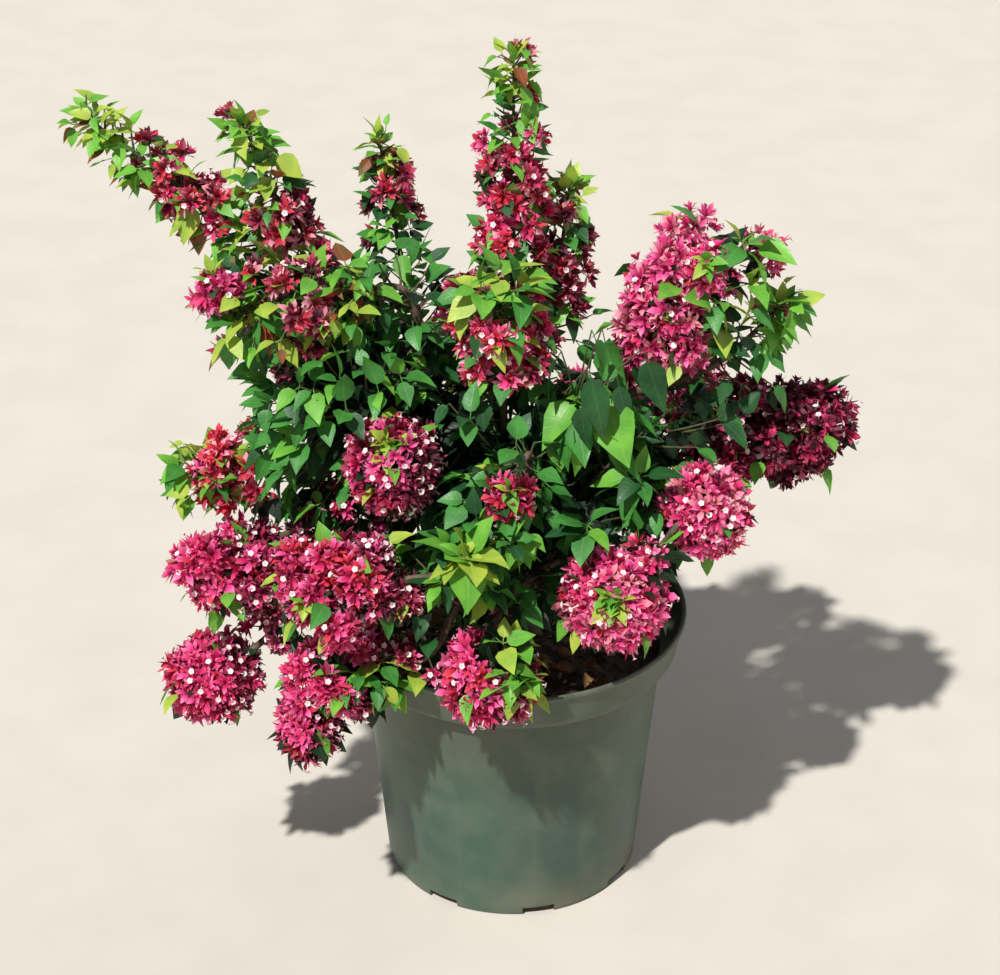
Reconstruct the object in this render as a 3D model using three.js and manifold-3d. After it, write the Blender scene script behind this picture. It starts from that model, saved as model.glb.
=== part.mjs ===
// A bougainvillea bush growing in a round nursery pot.
// Millimetres, +Z up. The origin is the middle of the pot's flat underside.
// Azimuths are in degrees and turn from +X towards +Y, so the plant's front is at 270.

import * as THREE from 'three';
import { mergeVertices } from 'three/addons/utils/BufferGeometryUtils.js';
import Module from 'manifold-3d';

const wasm = await Module();
wasm.setup();

// Clearances between neighbours, and the distance within which vertices are one
const CLEAR = 0.35;
const WELD = 1e-3;

// Pot: a thin tapered bucket, a stepped band above its shoulder and a rolled lip
const POT_HEIGHT = 285;
const POT_WALL = 2.5;
const POT_FLOOR = 3;
const FOOT_RADIUS = 126;
const SHOULDER_RADIUS = 148;
const SHOULDER_HEIGHT = 243;
const BAND_FOOT_RADIUS = 163;
const BAND_FOOT_HEIGHT = 250;
const BAND_TOP_RADIUS = 168.5;
const LIP_RADIUS = 172;
const LIP_HEIGHT = 6;
const POT_EDGE = 2;
const POT_SIDES = 36;

// Drain notches where the pot's wall meets its floor
const NOTCHES = 8;
const NOTCH_WIDTH = 32;
const NOTCH_HEIGHT = 9;
const NOTCH_DEPTH = 16;
const NOTCH_TURN = 12;

// Potting mix, level round the stem and a little lower at the wall
const SOIL_TOP = 246;
const SOIL_DROP = 6;
const SOIL_LEVEL_RADIUS = 60;

// Trunk: short, leaning a little, with a foot that flares into root lobes
const TRUNK_HEIGHT = 100;
const TRUNK_LEAN = new THREE.Vector3(-6, 8, 0);
const TRUNK_RADIUS = 14;
const TRUNK_TOP_RADIUS = 11.5;
const FLARE_RADIUS = 12;
const FLARE_SHARE = 0.3;
const ROOT_LOBES = 5;
const LOBE_DEPTH = 0.2;
const TRUNK_SIDES = 15;
const TRUNK_STEPS = 8;

// Boughs: tapering limbs, thinner after each forking
const BOUGH_FOOT_RADII = [6.5, 4.8, 4];
const BOUGH_TIP_RADIUS = 3;
const BOUGH_SIDES = 5;
const BOUGH_STEPS = 5;
const BOUGH_PULL = 0.38;
const BOUGH_RISE = 0.8;
const BOUGH_ENTRY = 0.6;

// Stems and twigs, three-sided and tapering
const STEM_RADIUS = 2.6;
const STEM_TIP_RADIUS = 1.4;
const STEM_STEPS = 2;
const STEM_END = 0.25;
const INNER_STEM_RADIUS = 3;
const INNER_STEPS = 4;
const INNER_RISE = 0.6;
const INNER_PULL = 0.4;
const TWIG_RADIUS = 1.6;
const TWIG_TIP_RADIUS = 1.1;
const TWIG_SIDES = 3;

// Leaves and bracts: flat pointed blades, larger than life because they are few
const LEAF = { length: 72, width: 50, thickness: 1.8, widest: 0.4 };
const BRACT = { length: 62, width: 48, thickness: 1.8, widest: 0.55 };
const BLADE_SHRINK = 0.15;
const SMALLEST_BLADE = 0.5;
const BLADE_TRIES = 3;
const BLADE_SINK = 1.2;
const SIZE_SPREAD = 0.25;
const GOLDEN_ANGLE = Math.PI * (3 - Math.sqrt(5));
const SPACE_GAP = 0.04;

// A bloom is a dense ball of bracts round a core, and a long one has more of them
const CORE_SHARE = 0.5;
const CORE_SINK = 10;
const BRACTS_ON_CORE = 12;
const BRACT_LEAN = 45;
const BRACT_LEAN_SPREAD = 22;

// How the other habits branch: the way between nodes, how many nodes it takes to one with a twig,
// a twig's length as a share of the mass's radius, its angle off the stem, the blades on it, the
// share of all blades that are leaves, how far the mass narrows towards its tip, and the blades' size
const HABITS = {
  spire: { step: 15, twigEvery: 5, twig: 0.4, angle: 34, blades: 2, leaves: 0.6, taper: 0.4, size: 1 },
  spray: { step: 20, twigEvery: 1, twig: 0.55, angle: 65, blades: 3, leaves: 0.5, taper: 0, size: 1 },
  leaves: { step: 16, twigEvery: 1, twig: 0.5, angle: 72, blades: 3, leaves: 1, taper: 0, size: 1 },
  thicket: { step: 9, twigEvery: 1, twig: 0.5, angle: 80, blades: 3, leaves: 1, taper: 0, size: 1.2 },
  bloom: { taper: 0, size: 1 },
};
const TIP_SPLAY = 16;
const SIDE_SPLAY = 55;
const SIDE_STEP = 0.3;

// Each shoot ends in one mass of foliage, and its row reads
//   name, bearing limb, how far along that limb it springs,
//   azimuth, reach and height of the far end of the mass's spine,
//   the spine's length, its rise, its turn off the azimuth, the mass's radius, its habit, its tint
const SHOOTS = [
  ['tall_spire', 'trunk', 1, 90, 30, 832, 200, 86, 0, 44, 'spire', 'pink'],
  ['far_left_spire', 'trunk', 0.74, 172, 390, 766, 220, 37, 0, 48, 'spire', 'bronze'],
  ['upper_right', 'trunk', 0.7, 353, 190, 655, 75, 47, 0, 72, 'bloom', 'pink'],
  ['back_middle', 'trunk', 0.66, 98, 225, 490, 50, 30, 0, 66, 'bloom', 'pink'],
  ['front_left', 'trunk', 0.56, 222, 230, 397, 38, -5, -42, 60, 'bloom', 'pink'],
  ['front_right', 'trunk', 0.6, 301, 165, 367, 55, -43, -95, 54, 'bloom', 'pale'],
  ['left_middle', 'trunk', 0.42, 197, 278, 368, 16, -30, 0, 56, 'bloom', 'pink'],
  ['left_spire', 'far_left_spire', 0.45, 181, 240, 784, 195, 69, 2, 46, 'spire', 'bronze'],
  ['left_shoulder', 'far_left_spire', 0.58, 193, 262, 622, 110, -5, 0, 52, 'spray', 'bronze'],
  ['back_left', 'far_left_spire', 0.28, 150, 240, 520, 50, 25, 0, 62, 'bloom', 'dark'],
  ['thin_spire', 'tall_spire', 0.42, 142, 158, 730, 120, 78, 0, 38, 'spire', 'dark'],
  ['short_spire', 'tall_spire', 0.72, 48, 78, 700, 115, 80, 0, 40, 'spire', 'dark'],
  ['centre_cluster', 'tall_spire', 0.3, 258, 60, 632, 50, 80, 0, 56, 'spray', 'pink'],
  ['right_sprig', 'upper_right', 0.75, 355, 268, 640, 34, 50, 0, 46, 'leaves', 'bright'],
  ['hanging_leaves', 'upper_right', 0.55, 314, 112, 530, 30, -10, 0, 58, 'leaves', 'green'],
  ['right_wing', 'upper_right', 0.38, 4, 290, 470, 85, 12, 0, 62, 'bloom', 'dark'],
  ['back_right', 'upper_right', 0.25, 46, 235, 465, 45, 20, 0, 62, 'bloom', 'pink'],
  ['right_pompom', 'front_right', 0.45, 336, 200, 436, 15, 10, 0, 48, 'bloom', 'pale'],
  ['rim_bloom', 'front_right', 0.3, 264, 201, 324, 12, -40, 0, 48, 'bloom', 'pink'],
  ['centre_left', 'front_left', 0.48, 224, 158, 496, 12, 20, 0, 48, 'bloom', 'pink'],
  ['low_front_left', 'front_left', 0.6, 224, 245, 305, 60, 0, -25, 42, 'bloom', 'dark'],
  ['front_rosettes', 'front_left', 0.28, 256, 165, 426, 60, -47, -30, 52, 'leaves', 'bright'],
  ['left_tip', 'left_middle', 0.45, 188, 288, 448, 30, 0, 0, 44, 'spray', 'pink'],
  ['low_left', 'left_middle', 0.6, 199, 309, 257, 20, -30, 0, 48, 'bloom', 'pink'],
  ['trailing_pompom', 'low_left', 0.3, 223, 263, 250, 10, -15, 0, 38, 'bloom', 'pink'],
  ['back_low_right', 'back_middle', 0.4, 70, 240, 365, 30, -20, 0, 60, 'bloom', 'pink'],
  ['back_low_left', 'back_middle', 0.5, 128, 250, 400, 40, -5, 0, 62, 'bloom', 'pale'],
];

// Leafy shoots inside the crown spring from the trunk itself, with no bough, and their rows read alike
const INNER_SHOOTS = [
  ['inner_front', 'trunk', 0.8, 262, 85, 490, 85, 50, 0, 105, 'thicket', 'green'],
  ['inner_left', 'trunk', 0.94, 195, 150, 525, 90, 45, 0, 115, 'thicket', 'green'],
  ['inner_right', 'trunk', 0.9, 338, 130, 500, 85, 50, 20, 110, 'thicket', 'green'],
];

// Finishes
const POT_PLASTIC = new THREE.MeshStandardMaterial({ color: 0x4c6355, roughness: 0.55, metalness: 0 });
const POTTING_MIX = new THREE.MeshStandardMaterial({ color: 0x2b211a, roughness: 1, metalness: 0 });
const BARK = new THREE.MeshStandardMaterial({ color: 0x5b4a37, roughness: 0.9, metalness: 0 });
const TINTS = {
  pink: 0xc8235f,
  pale: 0xdc4f8c,
  dark: 0x7a1230,
  bronze: 0x9a4a34,
  green: 0x2f6a30,
  bright: 0x6fae3c,
};

// Directions and places

const UP = new THREE.Vector3(0, 0, 1);
const STEEP = 0.9;

function heading(azimuth, rise) {
  const turn = THREE.MathUtils.degToRad(azimuth);
  const slope = THREE.MathUtils.degToRad(rise);
  const level = Math.cos(slope);
  return new THREE.Vector3(level * Math.cos(turn), level * Math.sin(turn), Math.sin(slope));
}

function place(azimuth, reach, height) {
  return heading(azimuth, 0).multiplyScalar(reach).setZ(height);
}

function ahead(point, direction, distance) {
  return point.clone().addScaledVector(direction, distance);
}

// A unit vector square to the given one
function squareTo(direction) {
  const other = Math.abs(direction.z) > STEEP ? new THREE.Vector3(1, 0, 0) : UP;
  return new THREE.Vector3().crossVectors(direction, other).normalize();
}

// The direction that leans off an axis by an angle in degrees, turned about it in radians
function leaning(axis, angle, turn) {
  const lean = THREE.MathUtils.degToRad(angle);
  const side = squareTo(axis);
  const third = new THREE.Vector3().crossVectors(axis, side);
  return axis.clone().multiplyScalar(Math.cos(lean))
    .addScaledVector(side, Math.sin(lean) * Math.cos(turn))
    .addScaledVector(third, Math.sin(lean) * Math.sin(turn));
}

// Random numbers from 0 to 1 that are the same for the same seed
function seeded(seed) {
  let state = seed;
  return () => {
    state = (state + 0x6d2b79f5) | 0;
    let mixed = Math.imul(state ^ (state >>> 15), 1 | state);
    mixed = (mixed + Math.imul(mixed ^ (mixed >>> 7), 61 | mixed)) ^ mixed;
    return ((mixed ^ (mixed >>> 14)) >>> 0) / 2 ** 32;
  };
}

// Solids

function solid(geometry) {
  geometry.deleteAttribute('normal');
  geometry.deleteAttribute('uv');
  const merged = mergeVertices(geometry, WELD);
  const corners = merged.index.array;
  const triVerts = [];
  for (let i = 0; i < corners.length; i += 3) {
    const [a, b, c] = corners.subarray(i, i + 3);
    if (a !== b && b !== c && c !== a) triVerts.push(a, b, c);
  }
  return new wasm.Manifold(new wasm.Mesh({
    numProp: 3,
    vertProperties: merged.attributes.position.array,
    triVerts: new Uint32Array(triVerts),
  }));
}

function joined(solids) {
  return solids.reduce((all, next) => all.add(next));
}

// The largest body of a solid. Loose scraps are dropped, and a hollow that joining sealed is filled.
function wholeBody(made) {
  return made.decompose().reduce((best, next) => (next.volume() > best.volume() ? next : best));
}

function boxesMeet(a, b) {
  return [0, 1, 2].every((k) => a.min[k] <= b.max[k] && b.min[k] <= a.max[k]);
}

function touches(made, obstacle) {
  return boxesMeet(made.boundingBox(), obstacle.box) && !made.intersect(obstacle.made).isEmpty();
}

function isClear(made, mass) {
  return !obstacles.some((obstacle) => obstacle.mass !== mass && touches(made, obstacle));
}

function obstacleOf(made) {
  return { made, box: made.boundingBox() };
}

function piece(name, made, material) {
  const body = wholeBody(made).getMesh();
  const geometry = new THREE.BufferGeometry();
  geometry.setAttribute('position', new THREE.BufferAttribute(body.vertProperties, 3));
  geometry.setIndex(new THREE.BufferAttribute(body.triVerts, 1));
  geometry.computeVertexNormals();
  const mesh = new THREE.Mesh(geometry, material);
  mesh.name = name;
  return mesh;
}

// A closed tapering tube along a curve. radiusAt takes the share of its length and the angle round it.
function tube(curve, sides, steps, radiusAt) {
  const geometry = new THREE.CylinderGeometry(1, 1, 1, sides, steps);
  const frames = curve.computeFrenetFrames(steps, false);
  const corners = geometry.attributes.position;
  for (let i = 0; i < corners.count; i++) {
    const [x, z] = [corners.getX(i), corners.getZ(i)];
    const step = Math.round((corners.getY(i) + 0.5) * steps);
    const radius = radiusAt(step / steps, Math.atan2(z, x));
    const corner = curve.getPointAt(step / steps)
      .addScaledVector(frames.normals[step], x * radius)
      .addScaledVector(frames.binormals[step], -z * radius);
    corners.setXYZ(i, corner.x, corner.y, corner.z);
  }
  return solid(geometry);
}

function turned(profile) {
  const points = profile.map(([radius, height]) => new THREE.Vector2(radius, height));
  return solid(new THREE.LatheGeometry(points, POT_SIDES).rotateX(Math.PI / 2));
}

// Pot and potting mix

function potProfile() {
  const lipFoot = POT_HEIGHT - LIP_HEIGHT;
  return [
    [0, 0],
    [FOOT_RADIUS - POT_EDGE, 0],
    [FOOT_RADIUS, POT_FLOOR],
    [SHOULDER_RADIUS, SHOULDER_HEIGHT],
    [BAND_FOOT_RADIUS - POT_EDGE, SHOULDER_HEIGHT + POT_EDGE],
    [BAND_FOOT_RADIUS, BAND_FOOT_HEIGHT],
    [BAND_TOP_RADIUS, lipFoot],
    [LIP_RADIUS, lipFoot + POT_EDGE],
    [LIP_RADIUS - POT_EDGE, POT_HEIGHT],
    [BAND_TOP_RADIUS - POT_WALL, POT_HEIGHT - POT_EDGE],
    [BAND_FOOT_RADIUS - POT_WALL, BAND_FOOT_HEIGHT],
    [SHOULDER_RADIUS - POT_WALL, SHOULDER_HEIGHT + POT_WALL],
    [FOOT_RADIUS - POT_WALL, POT_FLOOR],
    [0, POT_FLOOR],
  ];
}

function pot() {
  let made = turned(potProfile());
  for (let k = 0; k < NOTCHES; k++) {
    const turn = THREE.MathUtils.degToRad(NOTCH_TURN + (360 * k) / NOTCHES);
    const notch = new THREE.BoxGeometry(NOTCH_DEPTH, NOTCH_WIDTH, 2 * NOTCH_HEIGHT);
    notch.translate(FOOT_RADIUS, 0, 0).rotateZ(turn);
    made = made.subtract(solid(notch));
  }
  return made;
}

function pottingMix() {
  const slope = (SHOULDER_RADIUS - FOOT_RADIUS) / (SHOULDER_HEIGHT - POT_FLOOR);
  const edgeHeight = SOIL_TOP - SOIL_DROP;
  const footRadius = FOOT_RADIUS - POT_WALL - 2 * CLEAR;
  return turned([
    [0, POT_FLOOR + CLEAR],
    [footRadius, POT_FLOOR + CLEAR],
    [footRadius + slope * (edgeHeight - POT_FLOOR), edgeHeight],
    [SOIL_LEVEL_RADIUS, SOIL_TOP],
    [0, SOIL_TOP],
  ]);
}

// Trunk and boughs. Each limb keeps its curve, so that shoots can spring from it.

const limbs = new Map();

function addLimb(name, order, curve, sides, steps, radiusAt) {
  const fatter = (share, angle) => radiusAt(share, angle) + CLEAR;
  const limb = {
    order,
    curve,
    made: tube(curve, sides, steps, radiusAt),
    around: obstacleOf(tube(curve, sides, steps, fatter)),
  };
  limbs.set(name, limb);
  return limb;
}

function growTrunk() {
  const foot = new THREE.Vector3(0, 0, SOIL_TOP + CLEAR);
  const top = ahead(foot, UP, TRUNK_HEIGHT).add(TRUNK_LEAN);
  const middle = ahead(foot, UP, TRUNK_HEIGHT / 2);
  const curve = new THREE.QuadraticBezierCurve3(foot, middle, top);
  addLimb('trunk', 0, curve, TRUNK_SIDES, TRUNK_STEPS, (share, angle) => {
    const flare = Math.max(0, 1 - share / FLARE_SHARE) ** 2;
    const lobes = 1 + LOBE_DEPTH * flare * Math.cos(ROOT_LOBES * angle);
    return (THREE.MathUtils.lerp(TRUNK_RADIUS, TRUNK_TOP_RADIUS, share) + FLARE_RADIUS * flare) * lobes;
  });
}

// A bough leaves its parent sideways and ahead, then turns into its mass's own direction
function growBough(mass) {
  const parent = limbs.get(mass.on);
  const foot = parent.curve.getPointAt(mass.from);
  const parentWay = parent.curve.getTangentAt(mass.from);
  const away = mass.entry.clone().sub(foot).projectOnPlane(parentWay).normalize();
  const leaves = away.addScaledVector(parentWay, BOUGH_RISE).normalize();
  const span = foot.distanceTo(mass.entry);
  const curve = new THREE.CubicBezierCurve3(
    foot,
    ahead(foot, leaves, BOUGH_PULL * span),
    ahead(mass.entry, mass.direction, -BOUGH_PULL * span),
    mass.entry,
  );
  const footRadius = BOUGH_FOOT_RADII[parent.order];
  const radiusAt = (share) => THREE.MathUtils.lerp(footRadius, BOUGH_TIP_RADIUS, share);
  const limb = addLimb(mass.name, parent.order + 1, curve, BOUGH_SIDES, BOUGH_STEPS, radiusAt);
  limb.made = limb.made.subtract(parent.around.made);
}

// Masses

function massOf([name, on, from, azimuth, reach, height, long, rise, turn, wide, habit, tint], seed) {
  const direction = heading(azimuth + turn, rise);
  const far = place(azimuth, reach, height);
  const near = ahead(far, direction, -long);
  const entry = ahead(near, direction, -BOUGH_ENTRY * wide);
  return { name, on, from, direction, near, far, long, entry, wide, habit, tint, random: seeded(seed) };
}

function isInner(mass) {
  return mass.habit === 'thicket';
}

// How far out in a mass's space a point lies: 0 on its spine and 1 at its edge
function depthIn(mass, point) {
  const along = point.clone().sub(mass.near).dot(mass.direction);
  const share = THREE.MathUtils.clamp(along / mass.long, 0, 1);
  const radius = mass.wide * (1 - HABITS[mass.habit].taper * share);
  return ahead(mass.near, mass.direction, share * mass.long).distanceTo(point) / radius;
}

// An inner shoot leaves the outer masses their whole spaces, and the others share where they meet
function keepsToSpace(mass, point) {
  const depth = depthIn(mass, point);
  if (depth >= 1) return false;
  return masses.every((other) => {
    if (other === mass || (isInner(other) && !isInner(mass))) return true;
    const least = isInner(mass) && !isInner(other) ? 1 : depth;
    return depthIn(other, point) > least + SPACE_GAP;
  });
}

// A blade of eight faces from its root to its tip, facing the given way
function blade(root, tip, face, { width, thickness, widest }, size) {
  const geometry = new THREE.OctahedronGeometry(1);
  const along = tip.clone().sub(root);
  const length = along.length();
  along.normalize();
  const side = new THREE.Vector3().crossVectors(along, face).normalize();
  const front = new THREE.Vector3().crossVectors(side, along);
  const corners = geometry.attributes.position;
  for (let i = 0; i < corners.count; i++) {
    const [x, y, z] = [corners.getX(i), corners.getY(i), corners.getZ(i)];
    const share = y === 0 ? widest : (y + 1) / 2;
    const corner = ahead(root, along, share * length)
      .addScaledVector(side, (x * width * size) / 2)
      .addScaledVector(front, (z * thickness) / 2);
    corners.setXYZ(i, corner.x, corner.y, corner.z);
  }
  const middle = ahead(root, along, widest * length);
  const edges = [ahead(middle, side, (width * size) / 2), ahead(middle, side, (-width * size) / 2)];
  return { made: solid(geometry), points: [tip, ...edges] };
}

// Adds a blade at the largest size that keeps to the mass's space and clear of everything else
function addBlade(mass, root, direction, face, kind, largest) {
  for (let share = 1; share > SMALLEST_BLADE; share -= BLADE_SHRINK) {
    const size = largest * share;
    const tip = ahead(root, direction, kind.length * size);
    const { made, points } = blade(ahead(root, direction, -BLADE_SINK), tip, face, kind, size);
    const keeps = points.every((point) => keepsToSpace(mass, point));
    if (keeps && isClear(made, mass)) {
      mass.parts.push(made);
      return true;
    }
  }
  return false;
}

function taperedStick(from, to, footRadius, tipRadius, steps) {
  const radiusAt = (share) => THREE.MathUtils.lerp(footRadius, tipRadius, share);
  return tube(new THREE.LineCurve3(from, to), TWIG_SIDES, steps, radiusAt);
}

function core(mass) {
  const geometry = new THREE.DodecahedronGeometry(1);
  const half = CORE_SHARE * mass.wide;
  geometry.scale(half, half + mass.long / 2, half);
  const ownAxis = new THREE.Vector3(0, 1, 0);
  geometry.applyQuaternion(new THREE.Quaternion().setFromUnitVectors(ownAxis, mass.direction));
  const middle = ahead(mass.near, mass.direction, mass.long / 2);
  return solid(geometry.translate(middle.x, middle.y, middle.z));
}

// The stem starts just clear of the bough's tip, or of the trunk, and a bloom's core sits on it
function growStem(mass) {
  const isBloom = mass.habit === 'bloom';
  mass.stemEnd = isBloom ? mass.near.clone() : ahead(mass.far, mass.direction, -STEM_END * mass.wide);
  if (limbs.has(mass.name)) {
    const foot = ahead(mass.entry, mass.direction, CLEAR);
    mass.parts = [taperedStick(foot, mass.stemEnd, STEM_RADIUS, STEM_TIP_RADIUS, STEM_STEPS)];
  } else {
    const trunk = limbs.get('trunk');
    const foot = trunk.curve.getPointAt(mass.from);
    const away = mass.near.clone().sub(foot).projectOnPlane(UP).normalize();
    const bend = ahead(foot, away.addScaledVector(UP, INNER_RISE), INNER_PULL * foot.distanceTo(mass.near));
    const curve = new THREE.QuadraticBezierCurve3(foot, bend, mass.near);
    const lower = tube(curve, TWIG_SIDES, INNER_STEPS, () => INNER_STEM_RADIUS);
    const upper = taperedStick(ahead(mass.near, mass.direction, -STEM_RADIUS), mass.stemEnd,
      INNER_STEM_RADIUS, STEM_TIP_RADIUS, STEM_STEPS);
    mass.parts = [wholeBody(lower.subtract(trunk.around.made)).add(upper)];
  }
  if (isBloom) mass.parts.push(core(mass));
  obstacles.push({ ...obstacleOf(joined(mass.parts)), mass });
}

function sizeOf(mass) {
  return HABITS[mass.habit].size * (1 + SIZE_SPREAD * (mass.random() - 0.5));
}

// Bracts stand out of a bloom's core all round, each leaning its own way
function growBloom(mass) {
  const middle = ahead(mass.near, mass.direction, mass.long / 2);
  const half = CORE_SHARE * mass.wide;
  const count = Math.round(BRACTS_ON_CORE * (1 + mass.long / (2 * mass.wide)));
  for (let k = 0; k < count; k++) {
    const level = 1 - (2 * k + 1) / count;
    const round = leaning(mass.direction, THREE.MathUtils.radToDeg(Math.acos(level)), k * GOLDEN_ANGLE);
    const surface = ahead(middle, round, half).addScaledVector(mass.direction, (level * mass.long) / 2);
    for (let tried = 0; tried < BLADE_TRIES; tried++) {
      const lean = BRACT_LEAN + BRACT_LEAN_SPREAD * (mass.random() - 0.5);
      const direction = leaning(round, lean, 2 * Math.PI * mass.random());
      if (addBlade(mass, ahead(surface, direction, -CORE_SINK), direction, round, BRACT, sizeOf(mass))) break;
    }
  }
}

// Nodes turn round the stem by the golden angle. A node bears one blade, or a twig with several.
function growTwigs(mass) {
  const { step, twigEvery, twig, angle, blades, leaves, taper } = HABITS[mass.habit];
  const start = limbs.has(mass.name) ? ahead(mass.entry, mass.direction, CLEAR) : mass.near;
  const length = start.distanceTo(mass.stemEnd);
  let turn = 2 * Math.PI * mass.random();
  for (let along = step / 2, node = 1; along < length; along += step, node += 1) {
    const narrowing = 1 - (taper * along) / length;
    const foot = ahead(start, mass.direction, along);
    const kind = mass.random() < leaves ? LEAF : BRACT;
    for (let tried = 0; tried < BLADE_TRIES; tried++) {
      turn += GOLDEN_ANGLE;
      const direction = leaning(mass.direction, angle, turn);
      const face = direction.clone().add(UP);
      const size = sizeOf(mass) * narrowing;
      if (node % twigEvery) {
        if (addBlade(mass, foot, direction, face, kind, size)) break;
      } else if (growTwig(mass, foot, direction, twig * mass.wide * size, blades, kind, turn)) break;
    }
  }
  const last = ahead(mass.stemEnd, mass.direction, -TWIG_RADIUS);
  addBlade(mass, last, mass.direction, squareTo(mass.direction), LEAF, 1);
}

// A twig with one blade at its tip and the others back along it, splayed to its sides
function growTwig(mass, foot, direction, length, blades, kind, turn) {
  const tip = ahead(foot, direction, length);
  const stick = taperedStick(foot, tip, TWIG_RADIUS, TWIG_TIP_RADIUS, 1);
  if (!keepsToSpace(mass, tip) || !isClear(stick, mass)) return false;
  mass.parts.push(stick);
  const face = direction.clone().add(UP);
  for (let b = 0, way = turn; b < blades; b++) {
    const root = ahead(foot, direction, length * (1 - SIDE_STEP * b) - TWIG_RADIUS);
    for (let tried = 0; tried < BLADE_TRIES; tried++) {
      way += GOLDEN_ANGLE;
      const splayed = leaning(direction, b === 0 ? TIP_SPLAY : SIDE_SPLAY, way);
      if (addBlade(mass, root, splayed, face, kind, sizeOf(mass))) break;
    }
  }
  return true;
}

// The whole plant in its pot. Limbs and stems come first, so that every blade can keep clear of them.

const potMade = pot();
const soilMade = pottingMix();
growTrunk();
const outer = SHOOTS.map((row, k) => massOf(row, k + 1));
const inner = INNER_SHOOTS.map((row, k) => massOf(row, SHOOTS.length + k + 1));
const masses = [...outer, ...inner];
outer.forEach(growBough);
const limbsAround = [...limbs.values()].map((limb) => limb.around);
const obstacles = [obstacleOf(potMade), obstacleOf(soilMade), ...limbsAround];
masses.forEach(growStem);

const bush = new THREE.Group();
bush.add(piece('pot', potMade, POT_PLASTIC), piece('potting_mix', soilMade, POTTING_MIX));
for (const [name, limb] of limbs) bush.add(piece(name === 'trunk' ? name : 'bough_' + name, limb.made, BARK));
for (const mass of masses) {
  if (mass.habit === 'bloom') growBloom(mass);
  else growTwigs(mass);
  const made = joined(mass.parts);
  obstacles.push({ ...obstacleOf(made), mass });
  const finish = new THREE.MeshStandardMaterial({ color: TINTS[mass.tint], roughness: 0.7, metalness: 0 });
  bush.add(piece('mass_' + mass.name, made, finish));
}

export default bush;
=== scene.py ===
# %% [markdown]
# A bougainvillea bush in its nursery pot.
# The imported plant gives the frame: the pot, the limbs and the masses of foliage stand there at their real
# size, as plain solids. This lesson dresses it. Every piece is turned or grown by code round that frame, in
# metres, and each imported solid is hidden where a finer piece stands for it.

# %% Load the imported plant
import math
import random

import bpy
import numpy as np
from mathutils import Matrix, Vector


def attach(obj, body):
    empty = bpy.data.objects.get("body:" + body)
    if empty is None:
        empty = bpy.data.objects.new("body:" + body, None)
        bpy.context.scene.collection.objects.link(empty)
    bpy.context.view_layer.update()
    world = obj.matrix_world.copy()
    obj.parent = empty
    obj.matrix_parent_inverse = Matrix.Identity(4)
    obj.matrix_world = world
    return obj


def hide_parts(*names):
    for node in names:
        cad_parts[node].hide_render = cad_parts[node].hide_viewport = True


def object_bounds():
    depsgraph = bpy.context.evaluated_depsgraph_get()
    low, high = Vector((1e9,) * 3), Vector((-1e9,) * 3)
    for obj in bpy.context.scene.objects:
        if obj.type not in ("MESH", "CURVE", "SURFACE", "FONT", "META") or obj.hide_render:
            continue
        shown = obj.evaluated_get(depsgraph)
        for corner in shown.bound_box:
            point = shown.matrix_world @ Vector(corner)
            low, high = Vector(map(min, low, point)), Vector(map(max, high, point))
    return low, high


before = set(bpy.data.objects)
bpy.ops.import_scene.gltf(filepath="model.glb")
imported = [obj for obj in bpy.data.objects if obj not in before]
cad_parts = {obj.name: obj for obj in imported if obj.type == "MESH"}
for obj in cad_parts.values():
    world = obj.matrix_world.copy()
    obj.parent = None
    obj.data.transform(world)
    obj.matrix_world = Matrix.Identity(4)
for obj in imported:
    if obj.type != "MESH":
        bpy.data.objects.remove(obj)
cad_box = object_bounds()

print("packed nodes:", len(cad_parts), "box:", [[round(v, 3) for v in corner] for corner in cad_box])

# %% [markdown]
# The camera. It looks down on the pot from in front, from about two metres away. The focal length and the
# tilt were worked out from the pot's rim and foot, which are circles of known size, so that sizes can be
# compared with the photograph part by part.

# %% Camera
PHOTO_WIDTH = 1000
FOCAL_PIXELS = 2500
SENSOR_WIDTH = 36
CAMERA_PLACE = (-0.012, -2.090, 1.559)
CAMERA_TILT = 28.73


def new_object(name, data):
    """A new object in the scene."""
    made = bpy.data.objects.new(name, data)
    bpy.context.collection.objects.link(made)
    return made


camera = new_object("camera", bpy.data.cameras.new("camera"))
camera.data.sensor_fit = "HORIZONTAL"
camera.data.sensor_width = SENSOR_WIDTH
camera.data.lens = SENSOR_WIDTH * FOCAL_PIXELS / PHOTO_WIDTH
camera.location = CAMERA_PLACE
camera.rotation_euler = (math.radians(90 - CAMERA_TILT), 0, 0)
bpy.context.scene.camera = camera
print("lens:", camera.data.lens, "mm")

# %% [markdown]
# Directions and curves. A direction is a heading, as on a compass, with a rise. A limb is a Bezier curve that
# is walked by the share of its own length, so that shoots can spring from it at even steps. The plant's
# measures are kept in millimetres, as a grower would take them, and turned into metres where they are used.

# %% Directions and curves
MM = 0.001
UP = Vector((0, 0, 1))
STEEP = 0.9
GOLDEN_ANGLE = math.pi * (3 - math.sqrt(5))
CURVE_SAMPLES = 160
SMALL_SHARE = 0.01


def heading(azimuth, rise):
    """A unit direction: azimuth turns from +X towards +Y, and rise is above the level, in degrees."""
    turn, slope = math.radians(azimuth), math.radians(rise)
    return Vector((math.cos(slope) * math.cos(turn), math.cos(slope) * math.sin(turn), math.sin(slope)))


def place(azimuth, reach, height):
    """A place in metres, from its heading and from its reach and height in millimetres."""
    spot = heading(azimuth, 0) * reach
    spot.z = height
    return spot * MM


def square_to(direction):
    """A direction at right angles to another."""
    other = Vector((1, 0, 0)) if abs(direction.z) > STEEP else UP
    return direction.cross(other).normalized()


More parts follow.
